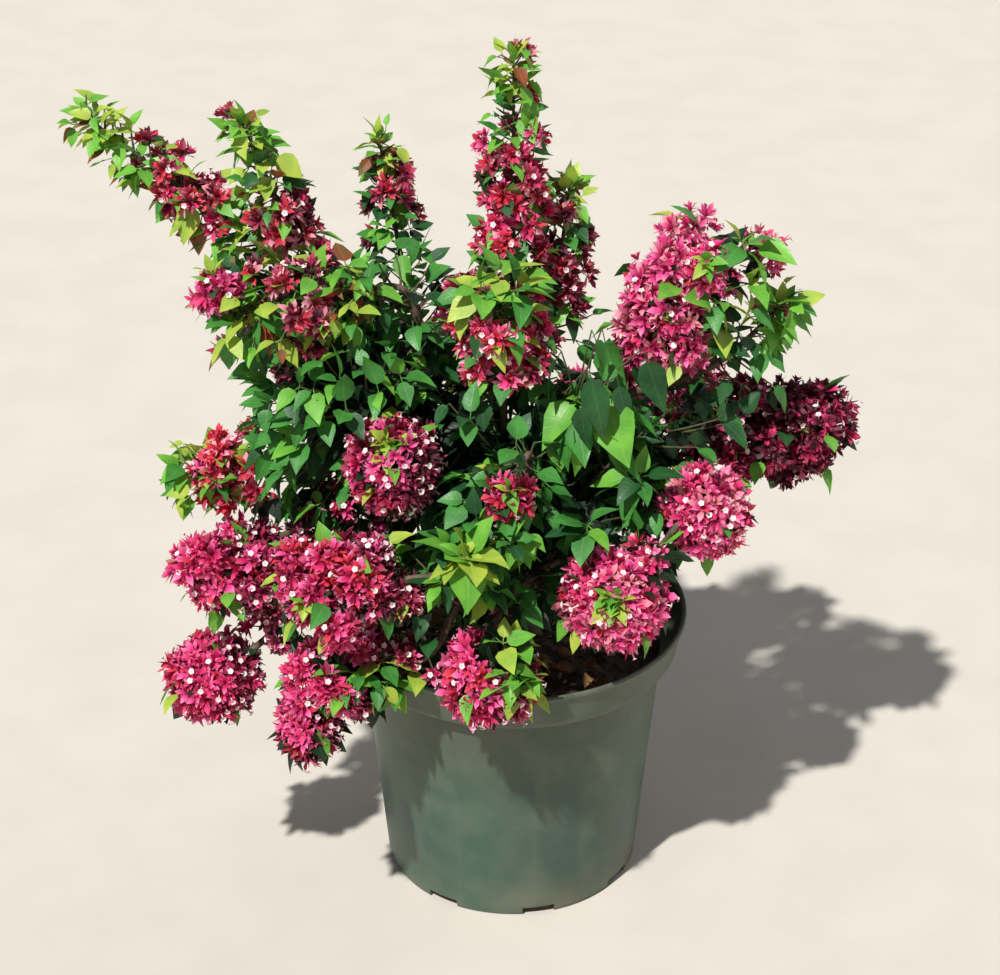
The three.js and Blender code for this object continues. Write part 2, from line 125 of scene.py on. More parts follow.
def leaning(axis, angle, turn):
    """The direction that leans off an axis by an angle in degrees, turned about it in radians."""
    lean = math.radians(angle)
    side = square_to(axis)
    third = axis.cross(side)
    return (
        axis * math.cos(lean)
        + side * (math.sin(lean) * math.cos(turn))
        + third * (math.sin(lean) * math.sin(turn))
    )


class Curve:
    """A Bezier curve that is walked by the share of its own length."""

    def __init__(self, *corners):
        shares = np.linspace(0, 1, CURVE_SAMPLES)[:, None]
        layers = [np.array(corner) + 0 * shares for corner in corners]
        while len(layers) > 1:
            layers = [a + (b - a) * shares for a, b in zip(layers, layers[1:])]
        self.points = layers[0]
        steps = np.linalg.norm(np.diff(self.points, axis=0), axis=1)
        self.walked = np.concatenate([[0], np.cumsum(steps)])
        self.length = self.walked[-1]

    def at(self, share):
        walked = np.asarray(share) * self.length
        return np.stack([np.interp(walked, self.walked, self.points[:, k]) for k in range(3)], axis=-1)

    def way(self, share):
        step = self.at(min(share + SMALL_SHARE, 1)) - self.at(max(share - SMALL_SHARE, 0))
        return Vector(step).normalized()


print("a quarter turn leaves", tuple(round(v, 3) for v in heading(90, 0)))

# %% [markdown]
# The plan of the plant. Each shoot is one row: the limb that bears it, and how far along, then where the far
# end of its foliage stands, how long, steep and wide that foliage is, how it grows and how it is coloured.
# Foliage keeps to its own space round a spine, which is what leaves sky between the upright spires. The same
# rows and the same rule for spaces made the solids, so the fine foliage grows into their places.

# %% Plan of the shoots
SHOOTS = [
    ("tall_spire", "trunk", 1, 90, 30, 832, 200, 86, 0, 44, "spire", "red"),
    ("far_left_spire", "trunk", 0.74, 172, 390, 766, 220, 37, 0, 48, "spire", "bronze"),
    ("upper_right", "trunk", 0.7, 353, 190, 655, 75, 47, 0, 72, "bloom", "pale"),
    ("back_middle", "trunk", 0.66, 98, 225, 490, 50, 30, 0, 66, "bloom", "pink"),
    ("front_left", "trunk", 0.56, 222, 230, 397, 38, -5, -42, 60, "bloom", "pink"),
    ("front_right", "trunk", 0.6, 301, 165, 367, 55, -43, -95, 54, "bloom", "pale"),
    ("left_middle", "trunk", 0.42, 197, 278, 368, 16, -30, 0, 56, "bloom", "pink"),
    ("left_spire", "far_left_spire", 0.45, 181, 240, 784, 195, 69, 2, 46, "spire", "bronze"),
    ("left_shoulder", "far_left_spire", 0.58, 193, 262, 622, 110, -5, 0, 52, "spray", "golden"),
    ("back_left", "far_left_spire", 0.28, 150, 240, 520, 50, 25, 0, 62, "bloom", "dark"),
    ("thin_spire", "tall_spire", 0.42, 142, 158, 730, 120, 78, 0, 38, "spire", "dusky"),
    ("short_spire", "tall_spire", 0.72, 48, 78, 700, 115, 80, 0, 40, "spire", "dusky"),
    ("centre_cluster", "tall_spire", 0.3, 258, 60, 632, 50, 80, 0, 56, "spray", "red"),
    ("right_sprig", "upper_right", 0.75, 355, 250, 620, 34, 50, 0, 34, "sprig", "bright"),
    ("hanging_leaves", "upper_right", 0.55, 314, 112, 530, 30, -10, 0, 58, "hanging", "hanging"),
    ("right_wing", "upper_right", 0.38, 4, 290, 470, 85, 12, 0, 62, "bloom", "dark"),
    ("back_right", "upper_right", 0.25, 46, 235, 465, 45, 20, 0, 62, "bloom", "pink"),
    ("right_pompom", "front_right", 0.45, 336, 200, 436, 15, 10, 0, 48, "bloom", "pale"),
    ("rim_bloom", "front_right", 0.3, 264, 201, 324, 12, -40, 0, 48, "bloom", "pink"),
    ("centre_left", "front_left", 0.48, 224, 158, 496, 12, 20, 0, 48, "bloom", "pink"),
    ("low_front_left", "front_left", 0.6, 224, 245, 305, 60, 0, -25, 42, "bloom", "pink"),
    ("front_rosettes", "front_left", 0.28, 256, 165, 426, 60, -47, -30, 52, "leaves", "rosette"),
    ("left_tip", "left_middle", 0.45, 188, 288, 448, 30, 0, 0, 44, "spray", "scarlet"),
    ("low_left", "left_middle", 0.6, 199, 309, 257, 20, -30, 0, 48, "bloom", "pink"),
    ("trailing_pompom", "low_left", 0.3, 223, 263, 256, 10, -15, 0, 31, "bloom", "pink"),
    ("back_low_right", "back_middle", 0.4, 70, 240, 365, 30, -20, 0, 60, "bloom", "pink"),
    ("back_low_left", "back_middle", 0.5, 128, 250, 400, 40, -5, 0, 62, "bloom", "pale"),
]
INNER_SHOOTS = [
    ("inner_front", "trunk", 0.8, 262, 85, 490, 85, 50, 0, 105, "thicket", "green"),
    ("inner_left", "trunk", 0.94, 195, 150, 525, 90, 45, 0, 115, "thicket", "lit"),
    ("inner_right", "trunk", 0.9, 338, 130, 500, 85, 50, 20, 110, "thicket", "green"),
]
BOUGH_ENTRY = 0.6
SPIRE_TAPER = 0.4
SPACE_GAP = 0.04


class Mass:
    """One mass of foliage: its spine, its radius, how it grows and its own random numbers."""

    def __init__(self, row, seed):
        self.name, self.bearer, self.start = row[:3]
        azimuth, reach, height, long, rise, turn, wide = row[3:10]
        self.habit, self.tint = row[10:]
        self.direction = heading(azimuth + turn, rise)
        self.far = place(azimuth, reach, height)
        self.long, self.wide = long * MM, wide * MM
        self.near = self.far - self.direction * self.long
        self.entry = self.near - self.direction * (BOUGH_ENTRY * self.wide)
        self.random = random.Random(seed)
        self.waves = [self.random.uniform(0, 2 * math.pi) for _ in range(3)]
        self.inner = self.habit == "thicket"
        self.taper = SPIRE_TAPER if self.habit == "spire" else 0

    def radius_at(self, share):
        return self.wide * (1 - self.taper * share)

    def depth(self, point):
        """How far out in the space a point lies: 0 on the spine and 1 at the edge."""
        along = (point - self.near).dot(self.direction)
        share = min(max(along / self.long, 0), 1)
        return (self.near + self.direction * (share * self.long) - point).length / self.radius_at(share)

    def keeps_to_space(self, point, limit=1.0):
        depth = self.depth(point)
        if depth >= limit:
            return False
        for other in masses:
            if other is self or (other.inner and not self.inner):
                continue
            least = 1 if self.inner and not other.inner else depth
            if other.depth(point) <= least + SPACE_GAP:
                return False
        return True


masses = [Mass(row, seed + 1) for seed, row in enumerate(SHOOTS + INNER_SHOOTS)]
by_name = {mass.name: mass for mass in masses}
MASS_NODES = ["mass_" + mass.name for mass in masses]
print("masses:", len(masses), "all packed:", all(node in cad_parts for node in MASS_NODES))

# %% [markdown]
# Joining. Thousands of leaves as separate objects would be slow. So each kind of thing is
# gathered in arrays of points and triangles, and becomes one mesh: one object for all bark, one for each
# colour of leaf. A second map, named blade, says where on its leaf a point lies: across from 0 to 1, and
# along from the foot to the tip. A material can then draw a midrib without knowing where the leaf is.

# %% Joined pieces
ALMOST_NOTHING = 1e-12


class Pile:
    """Gathers points and triangles of many small things, which become one piece."""

    def __init__(self):
        self.points, self.faces, self.maps, self.count = [], [], [], 0

    def add(self, points, faces, blade_map=None):
        self.points.append(points)
        self.faces.append(faces + self.count)
        self.maps.append(np.full((len(points), 2), 0.5) if blade_map is None else blade_map)
        self.count += len(points)


def make_piece(name, pile, material, stands_for=(), smooth=True):
    """One object from a pile. It rides on the body, and stands for the solids that it replaces."""
    points, faces = np.concatenate(pile.points), np.concatenate(pile.faces).astype(np.int32)
    mesh = bpy.data.meshes.new(name)
    mesh.vertices.add(len(points))
    mesh.vertices.foreach_set("co", points.astype(np.float32).ravel())
    mesh.loops.add(faces.size)
    mesh.loops.foreach_set("vertex_index", faces.ravel())
    mesh.polygons.add(len(faces))
    mesh.polygons.foreach_set("loop_start", np.arange(0, faces.size, 3, dtype=np.int32))
    mesh.polygons.foreach_set("use_smooth", np.full(len(faces), smooth))
    blade_map = mesh.uv_layers.new(name="blade")
    blade_map.data.foreach_set("uv", np.concatenate(pile.maps)[faces.ravel()].astype(np.float32).ravel())
    mesh.update(calc_edges=True)
    mesh.materials.append(material)
    made = new_object(name, mesh)
    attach(made, "root")
    if stands_for:
        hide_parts(*stands_for)
    print(name, len(faces), "triangles")
    return made


def unit(rows):
    """Rows of numbers at length one."""
    return rows / np.maximum(np.linalg.norm(rows, axis=-1, keepdims=True), ALMOST_NOTHING)


def around(count):
    """Even angles round a circle, in radians."""
    return np.arange(count) * 2 * math.pi / count


def closed_rings(count, sides):
    """Triangles between rings of points, and fans to the two points that come after them."""
    here = np.arange(sides)
    after = (here + 1) % sides
    faces = []
    for ring in range(count - 1):
        low, high = ring * sides, (ring + 1) * sides
        faces += [np.stack([low + here, low + after, high + after], 1)]
        faces += [np.stack([low + here, high + after, high + here], 1)]
    foot, tip, last = count * sides, count * sides + 1, (count - 1) * sides
    faces += [np.stack([np.full(sides, foot), after, here], 1)]
    faces += [np.stack([last + here, last + after, np.full(sides, tip)], 1)]
    return np.concatenate(faces)


def tube(points, radii, sides):
    """A closed tube along points. radii has a row for each ring, with one number or one for each side."""
    ways = unit(np.gradient(points, axis=0))
    side = np.array(square_to(Vector(ways[0])))
    angles = around(sides)
    rings = []
    for point, way, radius in zip(points, ways, radii):
        side = unit(side - way * (side @ way))
        third = np.cross(way, side)
        spokes = np.cos(angles)[:, None] * side + np.sin(angles)[:, None] * third
        rings.append(point + spokes * np.reshape(radius, (-1, 1)))
    return np.concatenate(rings + [points[:1], points[-1:]]), closed_rings(len(points), sides)


print("triangles in a tube of 4 rings with 4 sides:", len(closed_rings(4, 4)))

# %% [markdown]
# Colours. A painter's colour, as red, green and blue from 0 to 255, has to be turned into light before a
# shader can use it. A finish is built from small shader groups, so that mottling, dust and veins are made
# once and used by every material with its own values.

# %% Shader helpers
WHITE, BLACK = (1, 1, 1, 1), (0, 0, 0, 1)


def paint(red, green, blue):
    """A painter's colour as light, by the curve that screens use."""
    shares = [v / 255 for v in (red, green, blue)]
    light = [v / 12.92 if v <= 0.04045 else ((v + 0.055) / 1.055) ** 2.4 for v in shares]
    return (*light, 1)


def new_group(name, inputs, outputs):
    """A shader group with named sockets. Returns the group, what it is given and what it gives."""
    group = bpy.data.node_groups.new(name, "ShaderNodeTree")
    for label, kind, value in inputs:
        socket = group.interface.new_socket(label, in_out="INPUT", socket_type="NodeSocket" + kind)
        socket.default_value = value
    for label, kind in outputs:
        group.interface.new_socket(label, in_out="OUTPUT", socket_type="NodeSocket" + kind)
    return group, group.nodes.new("NodeGroupInput").outputs, group.nodes.new("NodeGroupOutput").inputs


def feed(tree, target, value):
    """Feeds a shader's input from another socket, or sets it to a plain value."""
    if isinstance(value, bpy.types.NodeSocket):
        tree.links.new(value, target)
    else:
        target.default_value = value


def add_node(tree, kind, settings=None, **inputs):
    """A shader node with its settings. An input goes by its name, or by its number, as in at0."""
    made = tree.nodes.new("ShaderNode" + kind)
    for label, value in (settings or {}).items():
        setattr(made, label, value)
    for label, value in inputs.items():
        key = int(label[2:]) if label.startswith("at") else label.replace("_", " ")
        feed(tree, made.inputs[key], value)
    return made


def mixed(tree, share, one, other):
    """A colour that goes from one to the other as share goes from 0 to 1."""
    return add_node(tree, "Mix", {"data_type": "RGBA"}, at0=share, at6=one, at7=other).outputs[2]


def ranged(tree, value, low, high, from_low=0.0, from_high=1.0):
    """A value moved from one range to another, and held within it."""
    made = add_node(tree, "MapRange", None, at0=value, at1=from_low, at2=from_high, at3=low, at4=high)
    return made.outputs[0]


def maths(tree, operation, one, other=0.0):
    """One step of arithmetic on values that change over the surface."""
    return add_node(tree, "Math", {"operation": operation}, at0=one, at1=other).outputs[0]


def clouds(tree, scale, detail, where=None):
    """Cloudy noise that hangs in space."""
    if where is None:
        where = add_node(tree, "TexCoord").outputs["Object"]
    return add_node(tree, "TexNoise", None, Vector=where, Scale=scale, Detail=detail).outputs[0]


print("white as light:", paint(255, 255, 255))

# %% [markdown]
# Mottling. No leaf, wall or clod is one flat colour: old and new growth, damp and sun leave soft patches.
# The group mixes two colours by a cloudy noise that hangs in space, so neighbouring leaves differ a little
# and the patches don't repeat.

# %% Shader group for mottling
PATCH_EDGES = (0.38, 0.64)

mottle_group, given, gives = new_group(
    "mottling",
    [("Colour", "Color", WHITE), ("Other Colour", "Color", BLACK), ("Scale", "Float", 40.0)],
    [("Colour", "Color"), ("Mask", "Float")],
)
mask = ranged(mottle_group, clouds(mottle_group, given["Scale"], 3.0), 0.0, 1.0, *PATCH_EDGES)
feed(mottle_group, gives["Colour"], mixed(mottle_group, mask, given["Colour"], given["Other Colour"]))
feed(mottle_group, gives["Mask"], mask)
print("mottling sockets:", [socket.name for socket in mottle_group.interface.items_tree])

# %% [markdown]
# Veins. A leaf has a pale midrib and side veins that run forward from it. With the blade map that is simple
# arithmetic: the midrib is where a point lies halfway across, and the side veins are stripes along the leaf
# that are bent forward by the distance from the midrib. They are also a little lower than the blade between.
# A blade's foot and tip may have colours of their own. The darker foot is painted shade, where the bracts
# meet in the tuft and where a leaf meets its stalk. The paler tip is partly the bracts' own fading and partly
# painted highlight.

# %% Shader group for veins
SIDE_VEINS = 7.0
VEIN_SWEEP = 2.4
MIDRIB_HALF = 0.07
SIDE_VEIN_HALF = 0.12
SIDE_VEIN_SHOWS = 0.6
# how far the painted shade at a blade's foot reaches, and where the paler tip begins
FOOT_SHADE_REACH = 0.65
TIP_FROM = 0.55

vein_group, given, gives = new_group(
    "blade veins",
    [
        ("Colour", "Color", WHITE),
        ("Vein Colour", "Color", WHITE),
        ("Foot Colour", "Color", BLACK),
        ("Tip Colour", "Color", WHITE),
        ("Amount", "Float", 0.5),
        ("Foot Amount", "Float", 0.3),
        ("Tip Amount", "Float", 0.0),
    ],
    [("Colour", "Color"), ("Height", "Float")],
)
blade_place = add_node(vein_group, "UVMap", {"uv_map": "blade"}).outputs[0]
across, along, _ = add_node(vein_group, "SeparateXYZ", None, Vector=blade_place).outputs
from_midrib = maths(vein_group, "ABSOLUTE", maths(vein_group, "SUBTRACT", across, 0.5))
midrib = ranged(vein_group, from_midrib, 1.0, 0.0, 0.0, MIDRIB_HALF)
bent = maths(vein_group, "MULTIPLY", from_midrib, VEIN_SWEEP)
stripes = maths(vein_group, "SUBTRACT", maths(vein_group, "MULTIPLY", along, SIDE_VEINS), bent)
from_middle = maths(vein_group, "SUBTRACT", maths(vein_group, "FRACT", stripes), 0.5)
stripe = maths(vein_group, "ABSOLUTE", from_middle)
side_vein = ranged(vein_group, stripe, SIDE_VEIN_SHOWS, 0.0, 0.0, SIDE_VEIN_HALF)
lines = maths(vein_group, "MAXIMUM", midrib, side_vein)
share = maths(vein_group, "MULTIPLY", lines, given["Amount"])
tone = mixed(vein_group, share, given["Colour"], given["Vein Colour"])
for end, limits in (("Foot", (1.0, 0.0, 0.0, FOOT_SHADE_REACH)), ("Tip", (0.0, 1.0, TIP_FROM, 1.0))):
    near_end = ranged(vein_group, along, *limits)
    share = maths(vein_group, "MULTIPLY", near_end, given[end + " Amount"])
    tone = mixed(vein_group, share, tone, given[end + " Colour"])
feed(vein_group, gives["Colour"], tone)
feed(vein_group, gives["Height"], maths(vein_group, "SUBTRACT", 1.0, lines))
print("side veins on each half of a leaf:", SIDE_VEINS)

# %% [markdown]
# Dust. A pot in a nursery yard is splashed and dusty: pale dust lies on what faces up, and thins out down
# the wall in cloudy patches. The group reads how much a surface faces up, and breaks the dust with noise.

# %% Shader group for dust
WALL_DUST = 0.35
FACING_EDGES = (-0.1, 0.9)
DUST_EDGES = (0.4, 0.72)

dust_group, given, gives = new_group(
    "settled dust",
    [
        ("Colour", "Color", WHITE),
        ("Dust Colour", "Color", WHITE),
        ("Amount", "Float", 0.5),
        ("Scale", "Float", 30.0),
    ],
    [("Colour", "Color"), ("Mask", "Float")],
)
normal = add_node(dust_group, "NewGeometry").outputs["Normal"]
facing_up = add_node(dust_group, "SeparateXYZ", None, Vector=normal).outputs[2]
flatness = ranged(dust_group, facing_up, WALL_DUST, 1.0, *FACING_EDGES)
broken = ranged(dust_group, clouds(dust_group, given["Scale"], 6.0), 0.0, 1.0, *DUST_EDGES)
dust = maths(dust_group, "MULTIPLY", maths(dust_group, "MULTIPLY", flatness, broken), given["Amount"])
feed(dust_group, gives["Colour"], mixed(dust_group, dust, given["Colour"], given["Dust Colour"]))
feed(dust_group, gives["Mask"], dust)
print("dust sockets:", [socket.name for socket in dust_group.interface.items_tree])

# %% [markdown]
# Grain. Plastic, bark and soil all have a fine unevenness that only shows in how light breaks on them. One
# group gives such a height at any scale. Stretch makes it run along the height, as on bark.

# %% Shader group for grain
grain_group, given, gives = new_group(
    "fine grain", [("Scale", "Float", 300.0), ("Stretch", "Float", 1.0)], [("Height", "Float")]
)
where = add_node(grain_group, "TexCoord").outputs["Object"]
scaling = add_node(grain_group, "CombineXYZ", None, X=1.0, Y=1.0, Z=given["Stretch"]).outputs[0]
stretched = add_node(grain_group, "VectorMath", {"operation": "MULTIPLY"}, at0=where, at1=scaling).outputs[0]
feed(grain_group, gives["Height"], clouds(grain_group, given["Scale"], 4.0, stretched))
print("grain sockets:", [socket.name for socket in grain_group.interface.items_tree])

# %% [markdown]
# Materials. Each one starts as two mottled colours, with a roughness that changes from the one to the other.
# What is special to a finish, such as furrows, dust or veins, is then put between. The shader itself stays in
# the material.


# %% Materials from the groups
def use_group(tree, group, **values):
    """Places a shader group in a material, with its own values. Returns what the group gives."""
    made = tree.nodes.new("ShaderNodeGroup")
    made.node_tree = group
    for label, value in values.items():
        feed(tree, made.inputs[label.replace("_", " ")], value)
    return made.outputs


def new_material(name):
    """An empty material with its Principled shader. Returns the material, its tree and the shader."""
    material = bpy.data.materials.new(name)
    material.use_nodes = True
    tree = material.node_tree
    return material, tree, tree.nodes["Principled BSDF"]


def mottled_material(name, colour, other, scale, roughness):
    """A material of two mottled colours, with the roughness of each. Also returns what the mottling gives."""
    material, tree, shader = new_material(name)
    tone = use_group(tree, mottle_group, Colour=colour, Other_Colour=other, Scale=scale)
    feed(tree, shader.inputs["Base Color"], tone["Colour"])
    feed(tree, shader.inputs["Roughness"], ranged(tree, tone["Mask"], *roughness))
    return material, tree, shader, tone


def raise_surface(tree, shader, height, strength, distance):
    """Relief in how light breaks on a surface."""
    bump = add_node(tree, "Bump", None, Strength=strength, Distance=distance, Height=height)
    feed(tree, shader.inputs["Normal"], bump.outputs[0])


def add_grain(tree, shader, scale, strength, distance, stretch=1.0):
    """Relief of fine grain. Returns its height."""
    height = use_group(tree, grain_group, Scale=scale, Stretch=stretch)["Height"]
    raise_surface(tree, shader, height, strength, distance)
    return height


print("shader groups:", [group.name for group in bpy.data.node_groups])

# %% [markdown]
# The pot. It is one thin shell of blow-moulded plastic: a tapering wall, a stepped band, a rolled lip and
# drain notches at the foot. A lathe fits it best: half a section is drawn once, its corners are rounded, and
# it is swept round the axis. The notches are cut with a Boolean. A real pot of this kind is never quite
# round, so the wall wanders by a fraction of a millimetre.

# %% Pot section
POT_HEIGHT = 285
POT_WALL = 2.5
POT_FLOOR = 3
FOOT_RADIUS = 126
SHOULDER_RADIUS = 148
SHOULDER_HEIGHT = 243
BAND_FOOT_RADIUS = 163
BAND_FOOT_HEIGHT = 250
BAND_TOP_RADIUS = 168.5
LIP_RADIUS = 172
LIP_HEIGHT = 6
POT_EDGE = 2
POT_SEGMENTS = 128
FILLET_STEPS = 4
FILLET_LIMIT = 0.45


def filleted(corners, radii):
    """Rounds each inner corner of a line of points by the way given for it, with a short Bezier."""
    line = [corners[0]]
    for before, corner, after, reach in zip(corners, corners[1:], corners[2:], radii):
        spot = Vector(corner)
        back, ahead = Vector(before) - spot, Vector(after) - spot
        start = spot + back.normalized() * min(reach, back.length * FILLET_LIMIT)
        end = spot + ahead.normalized() * min(reach, ahead.length * FILLET_LIMIT)
        for step in range(FILLET_STEPS + 1):
            share = step / FILLET_STEPS
            line.append(tuple(start.lerp(spot, share).lerp(spot.lerp(end, share), share)))
    return line + [corners[-1]]


lip_foot = POT_HEIGHT - LIP_HEIGHT
pot_corners = [
    (0.0, 0.0),
    (FOOT_RADIUS - POT_EDGE, 0.0),
    (FOOT_RADIUS, POT_FLOOR),
    (SHOULDER_RADIUS, SHOULDER_HEIGHT),
    (BAND_FOOT_RADIUS - POT_EDGE, SHOULDER_HEIGHT + POT_EDGE),
    (BAND_FOOT_RADIUS, BAND_FOOT_HEIGHT),
    (BAND_TOP_RADIUS, lip_foot),
    (LIP_RADIUS, lip_foot + POT_EDGE),
    (LIP_RADIUS - POT_EDGE, POT_HEIGHT),
    (BAND_TOP_RADIUS - POT_WALL, POT_HEIGHT - POT_EDGE),
    (BAND_FOOT_RADIUS - POT_WALL, BAND_FOOT_HEIGHT),
    (SHOULDER_RADIUS - POT_WALL, SHOULDER_HEIGHT + POT_WALL),
    (FOOT_RADIUS - POT_WALL, POT_FLOOR),
    (0.0, POT_FLOOR),
]
fillets = [1.0, 1.5, 5, 3, 3, 2, 1.6, 1.8, 2, 3, 3, 1]
pot_line = np.array(filleted(pot_corners, fillets))
print("points in the pot's section:", len(pot_line))

# %% [markdown]
# The section becomes a shell of many narrow faces, so that the wall can wander smoothly. The notches are one
# cutter of eight boxes, because one cut is quicker than eight and leaves the same edges.

# %% Pot mesh
WALL_STEP = 12
WALL_WANDER = 0.35
NOTCHES = 8
NOTCH_WIDTH = 32
NOTCH_HEIGHT = 9
NOTCH_DEPTH = 16
NOTCH_TURN = 12
BOX_CORNERS = np.array([[x, y, z] for x in (-1, 1) for y in (-1, 1) for z in (-1, 1)])
BOX_SIDES = ((0, 1, 3, 2), (4, 6, 7, 5), (0, 4, 5, 1), (2, 3, 7, 6), (0, 2, 6, 4), (1, 5, 7, 3))
BOX_FACES = np.array([face for a, b, c, d in BOX_SIDES for face in ((a, b, c), (a, c, d))])


def subdivided(line, longest):
    """Adds points to a line so that no step is longer than the given one."""
    fine = [line[0]]
    for start, end in zip(line, line[1:]):
        parts = max(1, math.ceil(np.linalg.norm(end - start) / longest))
        fine += [start + (end - start) * (k + 1) / parts for k in range(parts)]
    return np.array(fine)


def turned(line, segments, wander=0.0):
    """A closed body of revolution from a section that starts and ends on the axis."""
    inner, angles = line[1:-1], around(segments)
    radius, height = inner[:, 0][:, None], inner[:, 1][:, None]
    lift = np.clip(height / POT_HEIGHT, 0, 1)
    waves = 1 + np.sin(3 * angles + 1.3) * 0.6 + np.sin(5 * angles + height / 60) * 0.4
    radius = radius - wander * lift * waves
    rings = np.stack([radius * np.cos(angles), radius * np.sin(angles), height + 0 * angles], -1)
    points = np.concatenate([rings.reshape(-1, 3), [[0, 0, line[0, 1]]], [[0, 0, line[-1, 1]]]]) * MM
    return points, closed_rings(len(inner), segments)


def spun(points, turn):
    """Points turned about the upright axis by an angle in radians."""
    x, y, z = points.T
    return np.stack([x * math.cos(turn) - y * math.sin(turn), x * math.sin(turn) + y * math.cos(turn), z], 1)


def notch_cutter():
    """One object with a box across the pot's lower corner for each drain notch."""
    pile = Pile()
    box = BOX_CORNERS * [NOTCH_DEPTH / 2, NOTCH_WIDTH / 2, NOTCH_HEIGHT] + [FOOT_RADIUS, 0, 0]
    for k in range(NOTCHES):
        pile.add(spun(box, math.radians(NOTCH_TURN + 360 * k / NOTCHES)) * MM, BOX_FACES)
    mesh = bpy.data.meshes.new("notches")
    mesh.from_pydata(np.concatenate(pile.points).tolist(), [], np.concatenate(pile.faces).tolist())
    return new_object("notches", mesh)


def apply_modifiers(made):
    """Bakes an object's modifiers into its mesh."""
    bpy.context.view_layer.update()
    shaped = bpy.data.meshes.new_from_object(made.evaluated_get(bpy.context.evaluated_depsgraph_get()))
    made.modifiers.clear()
    made.data = shaped


print("boxes in the cutter:", NOTCHES, "with", len(BOX_FACES), "triangles each")

# %% [markdown]
# The pot's finish is dull grey-green plastic. Faint streaks run down the wall where water and splashed soil
# dried, dust lies on the band and the lip, and the foot is scuffed and earthy. From halfway up to the lip the
# wall turns a darker, warm grey-brown, which is painted shade of the crown's shadow on the pot. All of it is
# low in contrast: from two metres away it only keeps the wall from looking flat.

# %% Pot material
STREAK_SCALE = (34.0, 34.0, 1.6)
STREAKS_SHOW = 0.35
# heights in metres where the painted shade on the upper wall begins and is full, and how strong it is
PAINTED_SHADE_FROM, PAINTED_SHADE_TO, PAINTED_SHADE_SHOWS = 0.13, 0.22, 0.5
EARTH_TO, EARTH_SHOWS = 0.06, 0.5
SPLASH_DULLS = 0.3

pot_plastic, tree, shader = new_material("pot plastic")
body = use_group(tree, mottle_group, Colour=paint(62, 90, 74), Other_Colour=paint(54, 80, 68), Scale=9.0)
where = add_node(tree, "TexCoord").outputs["Object"]
squeezed = add_node(tree, "Mapping", None, Vector=where, Scale=STREAK_SCALE).outputs[0]
streaks = ranged(tree, clouds(tree, 1.0, 5.0, squeezed), 0.0, STREAKS_SHOW, 0.5, 0.72)
streaked = mixed(tree, streaks, body["Colour"], paint(94, 108, 94))
height = add_node(tree, "SeparateXYZ", None, Vector=where).outputs[2]
# painted shade: the upper wall darkens to a warm grey-brown, standing in for the crown's shadow on the pot
painted_shade_near_lip = ranged(tree, height, 0.0, PAINTED_SHADE_SHOWS, PAINTED_SHADE_FROM, PAINTED_SHADE_TO)
with_painted_shade = mixed(tree, painted_shade_near_lip, streaked, paint(76, 76, 56))
near_foot = ranged(tree, height, EARTH_SHOWS, 0.0, 0.0, EARTH_TO)
splash = maths(tree, "MULTIPLY", near_foot, use_group(tree, mottle_group, Scale=22.0)["Mask"])
splashed = mixed(tree, splash, with_painted_shade, paint(128, 116, 92))
dust_looks = dict(Dust_Colour=paint(150, 146, 128), Amount=0.45, Scale=26.0)
dusty = use_group(tree, dust_group, Colour=splashed, **dust_looks)
feed(tree, shader.inputs["Base Color"], dusty["Colour"])
dulled = maths(tree, "MULTIPLY", splash, SPLASH_DULLS)
feed(tree, shader.inputs["Roughness"], maths(tree, "ADD", ranged(tree, dusty["Mask"], 0.46, 0.75), dulled))
add_grain(tree, shader, 900.0, 0.12, 0.0006)

pile = Pile()
pile.add(*turned(subdivided(pot_line, WALL_STEP), POT_SEGMENTS, WALL_WANDER))
pot = make_piece("nursery_pot", pile, pot_plastic, ["pot"])
cutter = notch_cutter()
cut = pot.modifiers.new("notches", "BOOLEAN")
cut.operation = "DIFFERENCE"
cut.object = cutter
apply_modifiers(pot)
bpy.data.objects.remove(cutter)
sharp_edges = pot.modifiers.new("crisp edges", "WEIGHTED_NORMAL")
sharp_edges.keep_sharp = True
print("pot faces after the cut:", len(pot.data.polygons))

# %% [markdown]
# The potting mix fills the pot to about 40 millimetres below the lip. It is dark peat and bark, and its
# surface is level round the stem, falls a little to the wall and rolls in small lumps. It is turned on the
# lathe as the pot is, and then its top is lifted by a few waves of different widths.

# %% Potting mix
SOIL_TOP = 246
SOIL_DROP = 6
SOIL_LEVEL_RADIUS = 60
SOIL_RINGS = 34
SOIL_SEGMENTS = 120
SOIL_ROUGHNESS = 1.6
SOIL_CALM_RADIUS = 20
CLEAR = 0.35
soil_edge = SOIL_TOP - SOIL_DROP
soil_foot_radius = FOOT_RADIUS - POT_WALL - 2 * CLEAR
wall_slope = (SHOULDER_RADIUS - FOOT_RADIUS) / (SHOULDER_HEIGHT - POT_FLOOR)
soil_edge_radius = soil_foot_radius + wall_slope * (soil_edge - POT_FLOOR)


def soil_height(x, y):
    """The height of the potting mix over a place, in millimetres, with its lumps."""
    radius = np.hypot(x, y)
    fall = np.clip((radius - SOIL_LEVEL_RADIUS) / (soil_edge_radius - SOIL_LEVEL_RADIUS), 0, 1) * SOIL_DROP
    lumps = (
        np.sin(x / 7.3 + 1.1) * np.sin(y / 6.1 + 0.4)
        + 0.6 * np.sin(x / 3.1 + y / 4.4)
        + 0.4 * np.sin(x / 1.9 - y / 2.3 + 2.0)
    )
    calm = np.clip((radius - SOIL_CALM_RADIUS) / 10, 0.3, 1)
    return SOIL_TOP - fall + SOIL_ROUGHNESS * (lumps - 1.2) * calm


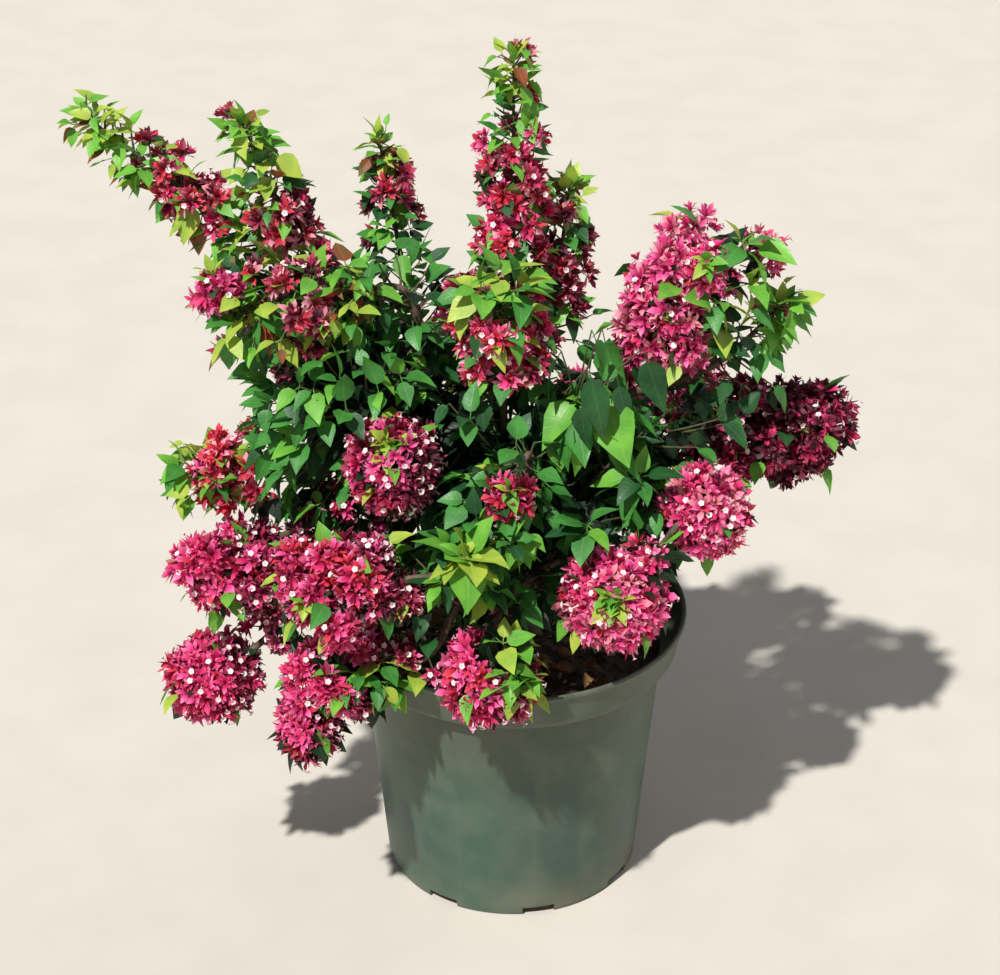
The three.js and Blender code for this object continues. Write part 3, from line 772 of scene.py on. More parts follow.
pile = Pile()
soil_radii = np.linspace(soil_edge_radius, 0, SOIL_RINGS)[:-1]
section = [[0, POT_FLOOR + CLEAR], [soil_foot_radius, POT_FLOOR + CLEAR]]
section += [[radius, SOIL_TOP] for radius in soil_radii] + [[0, SOIL_TOP]]
points, faces = turned(np.array(section, float), SOIL_SEGMENTS)
on_top = points[:, 2] > (SOIL_TOP - 1) * MM
points[on_top, 2] = soil_height(points[on_top, 0] / MM, points[on_top, 1] / MM) * MM
pile.add(points, faces)

colours = paint(52, 40, 30), paint(34, 26, 20)
potting_mix, tree, shader, damp = mottled_material("potting mix", *colours, 55.0, (0.95, 0.8))
dust_looks = dict(Dust_Colour=paint(92, 76, 58), Amount=0.8, Scale=260.0)
crumbly = use_group(tree, dust_group, Colour=damp["Colour"], **dust_looks)
feed(tree, shader.inputs["Base Color"], crumbly["Colour"])
add_grain(tree, shader, 520.0, 0.7, 0.002)
make_piece("potting_mix_surface", pile, potting_mix, ["potting_mix"])

# %% [markdown]
# Bark chips and pale crumbs lie strewn on the mix. Each is a lump of eight faces, drawn out of shape by
# chance and turned its own way. They are joined by colour, and shaded flat, as broken bark is.

# %% Crumbs and bark chips
CRUMBS = 900
CRUMB_SIZES = (1.2, 4.5)
CRUMB_SHAPE = (2.2, 1, 0.6)
CRUMB_LIFT = 0.25
CRUMB_MARGIN = 5
PALE_EVERY = 9
LUMP = np.array([[1, 0, 0], [-1, 0, 0], [0, 1, 0], [0, -1, 0], [0, 0, 1], [0, 0, -1]], float)
LUMP_SIDES = ((0, 2), (2, 1), (1, 3), (3, 0))
LUMP_FACES = np.array([(a, b, 4) for a, b in LUMP_SIDES] + [(b, a, 5) for a, b in LUMP_SIDES])


def on_soil(radius, angle, lift):
    """A place a little over the potting mix, in millimetres."""
    x, y = radius * math.cos(angle), radius * math.sin(angle)
    return np.array([x, y, soil_height(x, y) + lift])


crumb_random = np.random.default_rng(11)
crumb_piles = {"dark": Pile(), "pale": Pile()}
for k in range(CRUMBS):
    radius = (soil_edge_radius - CRUMB_MARGIN) * math.sqrt(crumb_random.uniform(0.02, 1))
    angle = crumb_random.uniform(0, 2 * math.pi)
    size = crumb_random.uniform(*CRUMB_SIZES) * crumb_random.uniform(0.4, 1)
    turn = crumb_random.uniform(0, math.pi)
    corners = LUMP * size * crumb_random.uniform(0.6, 1.1, (6, 3)) * CRUMB_SHAPE
    moved = (spun(corners, turn) + on_soil(radius, angle, CRUMB_LIFT * size)) * MM
    crumb_piles["pale" if k % PALE_EVERY == 0 else "dark"].add(moved, LUMP_FACES)
for name, kind, *colours in (
    ("bark_chips", "dark", paint(78, 54, 36), paint(44, 32, 24)),
    ("pale_crumbs", "pale", paint(176, 168, 150), paint(138, 126, 106)),
):
    material, tree, shader, _ = mottled_material(name.replace("_", " "), *colours, 140.0, (0.75, 0.95))
    add_grain(tree, shader, 900.0, 0.4, 0.001)
    make_piece(name, crumb_piles[kind], material, smooth=False)

# %% [markdown]
# The wood. The trunk is short and leans a little, with root lobes where it meets the soil. The boughs leave
# it sideways, climb and turn into the direction of their foliage. Their curves are the solids' own. Each one
# is a tube whose radius also swells at old leaf scars and wanders in ridges, so the bark has real relief, and
# all are joined as one piece.

# %% Trunk and boughs
TRUNK_HEIGHT = 100
TRUNK_LEAN = Vector((-6, 8, 0))
TRUNK_RADIUS = 14
TRUNK_TOP_RADIUS = 11.5
FLARE_RADIUS = 12
FLARE_SHARE = 0.3
ROOT_LOBES = 5
LOBE_DEPTH = 0.2
BOUGH_FOOT_RADII = (6.5, 4.8, 4)
BOUGH_TIP_RADIUS = 3
BOUGH_PULL = 0.38
BOUGH_RISE = 0.8
SCAR_STEP = 26
SCAR_WIDTH = 3
SCAR_SWELL = 0.14
COLLAR_SWELL = 0.5
COLLAR_REACH = 9
RIDGES = ((3, 0.045), (5, 0.035), (8, 0.03), (13, 0.02))
RIDGE_TWIST = 0.06
RIDGE_BREAKS = (6, 16)
ABOUT_A_TURN = 6.28
BOUGH_RELIEF = 0.7
TRUNK_SUNK = 2
TRUNK_SEED, FIRST_BOUGH_SEED = 5, 100


def bark_relief(walked, angles, seed, share=1.0):
    """How much the bark stands out at a way along a limb in millimetres and an angle round it."""
    chance = np.random.default_rng(seed)
    relief = np.ones((len(walked), len(angles)))
    for count, height in RIDGES:
        twist, phase = chance.uniform(-RIDGE_TWIST, RIDGE_TWIST), chance.uniform(0, ABOUT_A_TURN)
        wave = np.sin(count * angles[None, :] + twist * walked[:, None] + phase)
        broken = 0.6 + 0.4 * np.sin(walked[:, None] / chance.uniform(*RIDGE_BREAKS) + phase)
        relief += share * height * wave * broken
    return relief


wood_pile = Pile()
foot = Vector((0, 0, SOIL_TOP + CLEAR)) * MM
middle = foot + UP * (TRUNK_HEIGHT / 2 * MM)
top = foot + (UP * TRUNK_HEIGHT + TRUNK_LEAN) * MM
limbs = {"trunk": (0, Curve(foot, middle, top))}


def add_trunk(sides=40, rings=60):
    """The trunk, with root lobes where it flares. Its foot is sunk a little into the mix."""
    curve = limbs["trunk"][1]
    shares = np.linspace(0, 1, rings)
    angles = around(sides)
    flare = np.clip(1 - shares / FLARE_SHARE, 0, 1)[:, None] ** 2
    lobes = 1 + LOBE_DEPTH * flare * np.cos(ROOT_LOBES * angles)[None, :]
    taper = TRUNK_RADIUS + (TRUNK_TOP_RADIUS - TRUNK_RADIUS) * shares[:, None]
    plain = (taper + FLARE_RADIUS * flare) * lobes
    radii = plain * bark_relief(shares * TRUNK_HEIGHT, angles, TRUNK_SEED)
    points = curve.at(shares)
    points[0, 2] -= TRUNK_SUNK * MM
    wood_pile.add(*tube(points, radii * MM, sides))


def add_bough(mass, seed, sides=12, step=5):
    """One tapering bough, with a collar at its foot and a swelling at each old leaf scar."""
    order, parent = limbs[mass.bearer]
    start = Vector(parent.at(mass.start))
    parent_way = parent.way(mass.start)
    away = mass.entry - start
    away = (away - parent_way * away.dot(parent_way)).normalized()
    leaves = (away + parent_way * BOUGH_RISE).normalized()
    pull = BOUGH_PULL * (mass.entry - start).length
    curve = Curve(start, start + leaves * pull, mass.entry - mass.direction * pull, mass.entry)
    limbs[mass.name] = (order + 1, curve)
    length = curve.length / MM
    shares = np.linspace(0, 1, max(8, round(length / step)))
    walked = shares * length
    angles = around(sides)
    plain = BOUGH_FOOT_RADII[order] + (BOUGH_TIP_RADIUS - BOUGH_FOOT_RADII[order]) * shares
    plain = plain * (1 + COLLAR_SWELL * np.exp(-((walked / COLLAR_REACH) ** 2)))
    scars = SCAR_SWELL * np.exp(-(((walked + 5) % SCAR_STEP - SCAR_STEP / 2) / SCAR_WIDTH) ** 2)
    radii = (plain * (1 + scars))[:, None] * bark_relief(walked, angles, seed, BOUGH_RELIEF)
    wood_pile.add(*tube(curve.at(shares), radii * MM, sides))


add_trunk()
for seed, mass in enumerate(masses):
    if not mass.inner:
        add_bough(mass, FIRST_BOUGH_SEED + seed)
print("limbs:", len(limbs), "longest:", round(max(curve.length for _, curve in limbs.values()), 3), "m")

# %% [markdown]
# Old bougainvillea bark is grey-brown, finely furrowed along the limb, with paler corky patches. Young twigs
# are green, turning reddish brown. One function makes all three, from a main and a second colour.

# %% Bark and twig materials
FURROW_COLOUR = paint(40, 30, 24)
FURROW_SCALE = 6


def bark_material(name, colour, other, scale, stretch, depth):
    """Bark in two mottled colours, darker in its furrows."""
    material, tree, shader, tone = mottled_material(name, colour, other, scale, (0.7, 0.9))
    height = add_grain(tree, shader, scale * FURROW_SCALE, 0.6, depth, stretch)
    dark = ranged(tree, height, 0.55, 0.0, 0.3, 0.55)
    feed(tree, shader.inputs["Base Color"], mixed(tree, dark, tone["Colour"], FURROW_COLOUR))
    return material


old_bark = bark_material("old bark", paint(116, 98, 78), paint(84, 68, 52), 70.0, 0.25, 0.0015)
twig_bark = bark_material("twig bark", paint(88, 70, 48), paint(66, 76, 44), 30.0, 0.4, 0.0006)
LIMB_NODES = ["trunk"] + ["bough_" + mass.name for mass in masses if not mass.inner]
make_piece("trunk_and_boughs", wood_pile, old_bark, LIMB_NODES)

# %% [markdown]
# Blades. A leaf is a stalk and a pointed oval of a few triangles, folded a little along its midrib, drooping
# to its tip and rippled at its edge. A bract is a narrower oval, cupped, with no stalk to speak of. Each
# comes from an outline of shares along and half-widths. Each blade is kept as one row of numbers while the
# plant grows, and at the end all rows of a colour become one mesh by array arithmetic, which takes a moment
# even for tens of thousands of blades.

# %% Blade shapes
LEAF_OUTLINE = ((0.07, 0.19), (0.27, 0.32), (0.5, 0.29), (0.76, 0.15))
BRACT_OUTLINE = ((0.34, 0.14), (0.72, 0.17))
RIPPLES = 8
DROOP_SHORTENS = 0.1
STALK_RADIUS = 0.6
STALK_REACH = 1.08


def outline_template(outline):
    """Points as shares across and along, and the triangles of one blade."""
    points = [(0, 0, 0)]
    for along, half in outline:
        points += [(-1, half, along), (0, half, along), (1, half, along)]
    points.append((0, 0, 1))
    faces = [(0, 3, 2), (0, 2, 1)]
    for row in range(len(outline) - 1):
        left, middle, right = 3 * row + 1, 3 * row + 2, 3 * row + 3
        faces += [(middle, right, right + 3), (middle, right + 3, middle + 3)]
        faces += [(left, middle, middle + 3), (left, middle + 3, left + 3)]
    left, middle, right = (3 * (len(outline) - 1) + k for k in (1, 2, 3))
    tip = len(points) - 1
    faces += [(middle, right, tip), (left, middle, tip)]
    return np.array(points, float), np.array(faces)


def to_world(local, roots, ways, fronts):
    """Turns places given across, along and out of each blade into places in the plant, one row each."""
    ways = unit(ways)
    sides = unit(np.cross(ways, fronts))
    frames = np.stack([sides, ways, np.cross(sides, ways)], 1)
    return (roots[:, None, :] + np.einsum("npk,nkc->npc", local, frames)).reshape(-1, 3)


def repeated(faces, count, size):
    """The faces of many copies that have size points each."""
    return (faces[None, :, :] + (np.arange(count) * size)[:, None, None]).reshape(-1, 3)


def add_blades(pile, rows, outline):
    """Adds one blade a row: root, way, front, length, width, fold, droop, ripple, phase, stalk."""
    rows = np.array(rows)
    length, width, fold, droop, ripple, phase, stalk = (rows[:, k : k + 1] for k in range(9, 16))
    template, faces = outline_template(outline)
    sign, half, along = template.T
    rippled = ripple * np.sin(phase + RIPPLES * along + sign) * np.abs(sign)
    out = fold * np.abs(sign) * half + rippled - droop * along**2
    forward = stalk + length * (along - DROOP_SHORTENS * droop * along)
    local = np.stack([length * width * sign * half, forward, length * out], -1)
    blade_map = np.tile(np.stack([0.5 + 0.5 * sign, along], 1), (len(rows), 1))
    points = to_world(local, rows[:, 0:3], rows[:, 3:6], rows[:, 6:9])
    pile.add(points, repeated(faces, len(rows), len(template)), blade_map)
    stalked = rows[rows[:, 15] > 0]
    if len(stalked):
        add_stalks(pile, stalked)


def add_stalks(pile, rows):
    """A three-sided stalk below each leaf."""
    angles = around(3)
    ring = np.stack([np.cos(angles), 0 * angles, np.sin(angles)], 1) * STALK_RADIUS * MM
    local = np.concatenate([ring, ring])[None] + np.zeros((len(rows), 1, 1))
    local[:, 3:, 1] = rows[:, 15:16] * STALK_REACH
    here, after = np.arange(3), (np.arange(3) + 1) % 3
    faces = np.concatenate([np.stack([here, here + 3, after + 3], 1), np.stack([here, after + 3, after], 1)])
    points = to_world(local, rows[:, 0:3], rows[:, 3:6], rows[:, 6:9])
    pile.add(points, repeated(faces, len(rows), 6))


print("triangles in a leaf:", len(outline_template(LEAF_OUTLINE)[1]) + 6)
print("triangles in a bract:", len(outline_template(BRACT_OUTLINE)[1]))

# %% [markdown]
# Colours by spray. Each mass has its own mixture of leaf finishes and of bract finishes, and every leaf and
# floret takes one out of it by chance. A finish is a plain pair of colours, so the tints have their place on
# the plant without any painted picture. Some mixtures stand for light and shade: lit and green are a lit and
# a shaded copy for the crown's inner masses, painted light and painted shade, and the dark bract mixture is
# painted shade on blooms that lie in the crown's shadow.

# %% Mixtures of finishes
LEAF_MIXTURES = {
    "pink": (("bright", 5), ("mid", 4), ("young", 1), ("deep", 1)),
    "red": (("bright", 6), ("mid", 4), ("young", 2), ("deep", 1)),
    "dusky": (("mid", 6), ("bright", 4), ("deep", 3)),
    "scarlet": (("bright", 6), ("young", 3), ("mid", 2)),
    "pale": (("bright", 6), ("mid", 3), ("deep", 1)),
    "dark": (("mid", 6), ("deep", 3), ("bright", 3)),
    "bronze": (("bright", 7), ("mid", 3), ("young", 4), ("deep", 1), ("bronze", 1.2)),
    "golden": (("bright", 6), ("young", 5), ("mid", 4), ("deep", 2), ("bronze", 1.5)),
    # green and lit are a shaded and a lit copy for the inner masses: painted shade and painted light
    "green": (("mid", 5), ("deep", 5), ("bright", 0.5)),
    "lit": (("mid", 7), ("deep", 2), ("bright", 2)),
    "hanging": (("mid", 7), ("bright", 3)),
    "bright": (("bright", 7), ("young", 3), ("mid", 1)),
    "rosette": (("mid", 4), ("bright", 3), ("deep", 3), ("young", 1)),
}
BRACT_MIXTURES = {
    "pink": (("magenta", 6), ("pink", 5), ("crimson", 3), ("scarlet", 2)),
    "red": (("scarlet", 5), ("magenta", 4), ("crimson", 3), ("pink", 1.5)),
    "dusky": (("crimson", 4), ("scarlet", 3), ("wine", 3), ("pink", 0.6)),
    "scarlet": (("scarlet", 6), ("crimson", 2), ("pink", 1)),
    "pale": (("pink", 7), ("magenta", 5), ("salmon", 3), ("scarlet", 1)),
    # painted shade: the dark mixture is for blooms that lie in the crown's shadow
    "dark": (("wine", 6), ("crimson", 4), ("magenta", 0.6)),
    "bronze": (("crimson", 4), ("scarlet", 4), ("wine", 3), ("magenta", 1)),
    "golden": (("scarlet", 5), ("crimson", 4), ("wine", 2), ("salmon", 1)),
    # green and lit are a shaded and a lit copy for the inner masses: painted shade and painted light
    "green": (("crimson", 3), ("magenta", 2)),
    "lit": (("crimson", 2), ("magenta", 3)),
    "hanging": (("crimson", 1), ("magenta", 1)),
    "bright": (("pink", 1), ("magenta", 1)),
    "rosette": (("scarlet", 2), ("magenta", 2), ("pink", 1)),
}


def pick(chance, mixture):
    """One finish out of a mixture, which lists plain names, or names with their shares."""
    if isinstance(mixture[0], str):
        return chance.choice(mixture)
    names, shares = zip(*mixture)
    return chance.choices(names, shares)[0]


print("leaf finishes:", sorted({name for mixture in LEAF_MIXTURES.values() for name, _ in mixture}))
print("bract finishes:", sorted({name for mixture in BRACT_MIXTURES.values() for name, _ in mixture}))

# %% [markdown]
# Growing. While the plant grows, leaves, bracts, flowers and twigs are only noted down. Nothing may enter the
# pot or its soil. A leaf shrinks a few times until its tip is clear and, for most leaves, keeps to the space
# of its own mass, or else it is left out. What grows inside the crown also leaves room round the shoots and
# pompoms that stand out against the shade.

# %% Notes taken while growing
leaf_rows, bract_rows, flower_rows = {}, {}, []
grown_in = {}
low_corner, high_corner = cad_box
green_twigs, brown_twigs = Pile(), Pile()
POT_MARGIN = 6
SOIL_MARGIN = 2
REACH_MARGIN = 10
LEAF_TRIES = 4
LEAF_SHRINK = 0.82
FINE_TIP_DEPTH = 1.15
LEAF_SAG = 0.8
HANGING_SAG = 2.2
LEAF_SIZES = (0.75, 1.2)
LEAF_BREADTHS = (0.85, 1.15)
LEAF_FOLDS = (0.05, 0.45)
LEAF_DROOPS = (0.05, 0.4)
LEAF_RIPPLES = (0, 0.05)
STALK_SHARES = (0.14, 0.28)
TWIG_RINGS, TWIG_SIDES = 4, 4
POMPOMS = ("front_right", "right_pompom", "centre_left", "rim_bloom", "low_left", "trailing_pompom")
ROOM_ROUND = {"hanging_leaves": 1.5, "front_rosettes": 1.2}
ROOM_ROUND.update({name: 1.3 for name in POMPOMS})


def is_free(point):
    """Whether a place is clear of the pot and its soil, and within the reach of the solids."""
    margin = REACH_MARGIN * MM
    if not all(low - margin < v < high + margin for low, v, high in zip(low_corner, point, high_corner)):
        return False
    radius = math.hypot(point.x, point.y) / MM
    height = point.z / MM
    if height > POT_HEIGHT + POT_MARGIN or radius > LIP_RADIUS + POT_MARGIN:
        return height > POT_MARGIN
    return radius < SHOULDER_RADIUS - POT_MARGIN and height > SOIL_TOP + SOIL_MARGIN


def leaves_room(point):
    """Whether a place is clear of the room round the shoots that stand out against the shade."""
    return all(by_name[name].depth(point) > room for name, room in ROOM_ROUND.items())


def note_blade(rows, finish, mass, root, way, front, length, shape, stalk):
    """Notes one blade under its finish, and the mass that it grew in."""
    width, fold, droop, ripple = shape
    phase = mass.random.uniform(0, 2 * math.pi)
    row = (*root, *way, *front, length, width, fold, droop, ripple, phase, stalk)
    rows.setdefault(finish, []).append(row)
    grown_in.setdefault(finish, set()).add("mass_" + mass.name)


def add_twig(start, end, foot_radius, tip_radius, brown=False, bend=0.08):
    """A thin four-sided twig, bent a little."""
    length = (end - start).length
    middle = (start + end) / 2 + square_to((end - start).normalized()) * (bend * length)
    points = Curve(start, middle, end).at(np.linspace(0, 1, TWIG_RINGS))
    radii = np.linspace(foot_radius, tip_radius, TWIG_RINGS)[:, None] * MM
    (brown_twigs if brown else green_twigs).add(*tube(points, radii, TWIG_SIDES))


def add_leaf(mass, root, way, length, finish=None, broad=1.0, keep=True, sag=None):
    """A leaf of a length in millimetres, shortened until its tip is clear and, where asked, in its space."""
    chance = mass.random
    if sag is None:
        sag = HANGING_SAG if mass.tint == "hanging" else LEAF_SAG
    way = (way - UP * (sag * chance.uniform(0.2, 1))).normalized()
    size = length * MM * chance.uniform(*LEAF_SIZES)
    stalk = size * chance.uniform(*STALK_SHARES)
    for _ in range(LEAF_TRIES):
        tip = root + way * (size + stalk)
        if is_free(tip) and (not keep or mass.keeps_to_space(tip, FINE_TIP_DEPTH)):
            break
        size *= LEAF_SHRINK
    else:
        return
    finish = finish or pick(chance, LEAF_MIXTURES[mass.tint])
    front = UP + way * 0.2 + Vector([chance.uniform(-0.5, 0.5) for _ in range(3)])
    fold, droop = chance.uniform(*LEAF_FOLDS), chance.uniform(*LEAF_DROOPS)
    shape = (broad * chance.uniform(*LEAF_BREADTHS), fold, droop, chance.uniform(*LEAF_RIPPLES))
    note_blade(leaf_rows, finish, mass, root, way, front, size, shape, stalk)


print("room is kept round:", ", ".join(ROOM_ROUND))

# %% [markdown]
# A floret. On the real plant a thin stalk ends in papery bracts round a small cream flower. On this double
# kind there are many bracts in a tuft: the inner ones stand up, the outer ones lie open. So each bract leans
# off the tuft's axis a little more than the one before, and turns on by the golden angle.

# %% Florets
INNER_LEAN, OUTER_LEAN = 12, 74
LEAN_WANDER = 10
OWN_FINISH_SHARE = 0.7
OUTER_FROM, OUTER_FINISH_SHARE = 0.6, 0.5
BRACT_SIZES = (0.7, 1.15)
BRACT_SHAPES = ((0.85, 1.25), (0.1, 0.5), (0.0, 0.35))
BRACT_RIPPLE = 0.03
FLOWER_LEAN = 25
FLOWER_SIZES = (0.75, 1.05)


def add_floret(mass, root, way, length, count, finishes, outer_finish, flower_share):
    """A tuft of bracts of a length in millimetres. The outer ones may take a finish of their own."""
    chance = mass.random
    if not is_free(root + way * (length * MM)):
        return
    turn = chance.uniform(0, 2 * math.pi)
    own = pick(chance, finishes)
    for k in range(count):
        turn += GOLDEN_ANGLE
        open_share = (k + 0.5) / count
        lean = INNER_LEAN + (OUTER_LEAN - INNER_LEAN) * open_share + chance.uniform(-LEAN_WANDER, LEAN_WANDER)
        direction = leaning(way, lean, turn)
        finish = own if chance.random() < OWN_FINISH_SHARE else pick(chance, finishes)
        if open_share > OUTER_FROM and chance.random() < OUTER_FINISH_SHARE:
            finish = outer_finish
        shape = [chance.uniform(*limits) for limits in BRACT_SHAPES] + [BRACT_RIPPLE]
        size = length * MM * chance.uniform(*BRACT_SIZES)
        note_blade(bract_rows, finish, mass, root, direction, way, size, shape, 0)
    if chance.random() < flower_share:
        lean = leaning(way, chance.uniform(0, FLOWER_LEAN), chance.uniform(0, ABOUT_A_TURN))
        flower_rows.append((*root, *lean, length * MM * chance.uniform(*FLOWER_SIZES)))
        grown_in.setdefault("flowers", set()).add("mass_" + mass.name)


print("bracts of a floret lean from", INNER_LEAN, "to", OUTER_LEAN, "degrees")

# %% [markdown]
# Leafy shoots. A stem grows on from its bough's tip along the spine of its mass. Twigs leave it at even
# steps and turn round it by the golden angle. Each twig bears leaves by the same turn, and ends in a tuft of
# leaves or in a cluster of florets. What differs between an upright spire, a loose spray and the thicket
# inside is only a row of numbers.

# %% Habits of growth
HABITS = {
    "spire": dict(step=4, twig=0.68, angle=58, twig_step=16, leaf=35, cluster=0.5, bract=15, petals=9),
    "spray": dict(step=2.4, twig=0.78, angle=66, twig_step=15, leaf=26, cluster=0.8, bract=15, petals=9),
    "leaves": dict(step=3.2, twig=0.62, angle=70, twig_step=13, leaf=28, cluster=0.02, bract=13, petals=9),
    "sprig": dict(step=3.2, twig=0.45, angle=60, twig_step=13, leaf=33, cluster=0.02, bract=13, petals=9),
    "hanging": dict(step=5, twig=0.5, angle=75, twig_step=20, leaf=58, cluster=0, bract=14, petals=9),
    "thicket": dict(step=3, twig=0.85, angle=80, twig_step=16, leaf=25, cluster=0.05, bract=12, petals=8),
}
STEM_RADII = (2.8, 1.0)
INNER_STEM_RADII = (4, 3)
INNER_STEM_RINGS, INNER_STEM_SIDES = 8, 8
TWIG_RADII = (1.3, 0.7)
TWIG_TRIES = 3
TWIG_WANDER = 12
TWIG_REACHES = (0.4, 1.15)
TWIG_BEND = 0.12
NODE_LEAF_ANGLE = 58
NODE_WANDER = 14
FIRST_NODE = 0.7
NODE_STEPS = (0.8, 1.2)
END_LEAVES = (1, 2, 2, 3)
END_LEANS = (15, 55)
END_SHRINK = 0.95
YOUNG_FROM = 0.82
TIP_FLOWERING = 0.24
RIPE_BELOW = 0.35
TIP_LEAVES = 24
TIP_LEAF = 18
TIP_SAG = 0.15
TIP_STEP, TIP_LEAN, TIP_LEAN_STEP = 1.2, 10, 5.5
BAND_LENGTH = 110
SPIRE_BAND_LENGTH = 150
YOUNG_LEAVES = (("young", 5), ("bright", 4), ("bronze", 0.7))
YOUNG_BRACTS = (("scarlet", 3), ("crimson", 3), ("salmon", 1))
RICHEST_AT = {
    "tall_spire": 0.36,
    "far_left_spire": 0.5,
    "left_spire": 0.47,
    "thin_spire": 0.55,
    "centre_cluster": 0.3,
    "left_shoulder": 0.4,
}
RICHEST_ELSEWHERE = 0.2
LEAST_FLOWERING, BAND_FLOWERING = 0.05, 1.7
LEAFLESS_IN_FLOWER = 0.6
CLUSTER_FLORETS = 5
CLUSTER_SPREAD = 60
CLUSTER_STALKS = (3, 8)
CLUSTER_OWN_WEIGHT = 6
FLORET_STALK = (0.6, 0.5)
SHOOT_FLOWERS = 0.17
FREE_FLOWERING = {
    "red": 2.8,
    "dusky": 1.0,
    "scarlet": 0.8,
    "bronze": 1.3,
    "golden": 0.75,
    "green": 0.5,
    "lit": 0.5,
}
SUNNY_SIDE = Vector((-0.85, -0.4, 0.3)).normalized()


def finishes_at(mass, share):
    """Leaf and bract mixtures at a share along a shoot: yellow-green and red at a spire's tip."""
    if mass.habit == "spire" and share > YOUNG_FROM:
        return YOUNG_LEAVES, YOUNG_BRACTS
    if mass.tint == "bronze" and mass.habit == "spire" and share < RIPE_BELOW:
        return LEAF_MIXTURES["bronze"], BRACT_MIXTURES["pink"]
    return LEAF_MIXTURES[mass.tint], BRACT_MIXTURES[mass.tint]


def flowering(mass, share, way):
    """How freely a shoot flowers at a place: in bands along it, and more on its shaded side."""
    band_length = SPIRE_BAND_LENGTH if mass.habit == "spire" else BAND_LENGTH
    whole = (mass.far - mass.entry).length
    from_richest = (share - RICHEST_AT.get(mass.name, RICHEST_ELSEWHERE)) * whole / (band_length * MM)
    band = 0.5 + 0.5 * math.cos(2 * math.pi * from_richest)
    shaded = 0.5 - 0.5 * way.dot(SUNNY_SIDE)
    tip = TIP_FLOWERING if share > YOUNG_FROM else 1
    freely = tip * FREE_FLOWERING.get(mass.tint, 1)
    return freely * (LEAST_FLOWERING + BAND_FLOWERING * band) * (0.5 + shaded)


def add_cluster(mass, root, way, share, size, habit):
    """A few florets fanned round one place."""
    chance = mass.random
    bracts = finishes_at(mass, share)[1]
    own = bracts + ((pick(chance, bracts), CLUSTER_OWN_WEIGHT),)
    length = habit["bract"] * size
    for k in range(CLUSTER_FLORETS):
        floret_way = leaning(way, CLUSTER_SPREAD * math.sqrt(k / CLUSTER_FLORETS), k * GOLDEN_ANGLE)
        foot = root + floret_way * (chance.uniform(*CLUSTER_STALKS) * MM)
        if mass.keeps_to_space(foot + floret_way * (0.5 * length * MM), FINE_TIP_DEPTH):
            add_twig(root, foot, *FLORET_STALK)
            add_floret(mass, foot, floret_way, length, habit["petals"], own, "salmon", SHOOT_FLOWERS)


def grow_twig(mass, foot, way, length, share, size, habit):
    """A twig with leaves at nodes of its own, and a tuft of leaves or a cluster of florets at its tip."""
    chance = mass.random
    tip = foot + way * length
    if not mass.keeps_to_space(tip) or not is_free(tip) or (mass.inner and not leaves_room(tip)):
        return False
    add_twig(foot, tip, *TWIG_RADII, bend=chance.uniform(-TWIG_BEND, TWIG_BEND))
    leaves = finishes_at(mass, share)[0]
    flowers = chance.random() < habit["cluster"] * flowering(mass, share, way)
    leafless = LEAFLESS_IN_FLOWER if flowers else 0
    turn = chance.uniform(0, 2 * math.pi)
    walked = habit["twig_step"] * MM * FIRST_NODE
    while walked < length:
        turn += GOLDEN_ANGLE
        outward = leaning(way, NODE_LEAF_ANGLE + chance.uniform(-NODE_WANDER, NODE_WANDER), turn)
        if chance.random() >= leafless:
            add_leaf(mass, foot + way * walked, outward, habit["leaf"] * size, pick(chance, leaves))
        walked += habit["twig_step"] * MM * chance.uniform(*NODE_STEPS)
    if flowers:
        add_cluster(mass, tip, way, share, size, habit)
    for _ in range(1 if flowers else chance.choice(END_LEAVES)):
        turn += GOLDEN_ANGLE
        leaf_way = leaning(way, chance.uniform(*END_LEANS), turn)
        add_leaf(mass, tip, leaf_way, habit["leaf"] * size * END_SHRINK, pick(chance, leaves))
    return True


def grow_stem(mass):
    """The stem that goes on from the bough's tip, or inside the crown from the trunk. Returns its foot."""
    foot = mass.entry
    if mass.inner:
        trunk_foot = Vector(limbs["trunk"][1].at(mass.start))
        foot = mass.near
        away = foot - trunk_foot
        level = Vector((away.x, away.y, 0)).normalized()
        bend = trunk_foot + (level + UP * 0.6) * (0.4 * away.length)
        points = Curve(trunk_foot, bend, foot).at(np.linspace(0, 1, INNER_STEM_RINGS))
        radii = np.linspace(*INNER_STEM_RADII, INNER_STEM_RINGS)[:, None] * MM
        brown_twigs.add(*tube(points, radii, INNER_STEM_SIDES))
    add_twig(foot, mass.far, *STEM_RADII, brown=True, bend=0)
    return foot


def grow_shoot(mass):
    """A leafy shoot: its stem, the twigs round it and the small leaves at its tip."""
    habit, chance = HABITS[mass.habit], mass.random
    start = grow_stem(mass)
    length = (mass.far - start).length
    turn = chance.uniform(0, 2 * math.pi)
    walked = habit["step"] * MM
    while walked < length:
        share = walked / length
        narrowing = 1 - mass.taper * share
        point = start + mass.direction * walked
        for _ in range(TWIG_TRIES):
            turn += GOLDEN_ANGLE
            way = leaning(mass.direction, habit["angle"] + chance.uniform(-TWIG_WANDER, TWIG_WANDER), turn)
            reach = habit["twig"] * mass.wide * narrowing * chance.uniform(*TWIG_REACHES)
            if grow_twig(mass, point, way, reach, share, narrowing**0.5, habit):
                break
        walked += habit["step"] * MM
    for k in range(TIP_LEAVES):
        way = leaning(mass.direction, TIP_LEAN + TIP_LEAN_STEP * k, turn + k * GOLDEN_ANGLE)
        foot = mass.far - mass.direction * (TIP_STEP * k * MM)
        finish = pick(chance, finishes_at(mass, 1)[0])
        add_leaf(mass, foot, way, TIP_LEAF, finish, keep=False, sag=TIP_SAG)


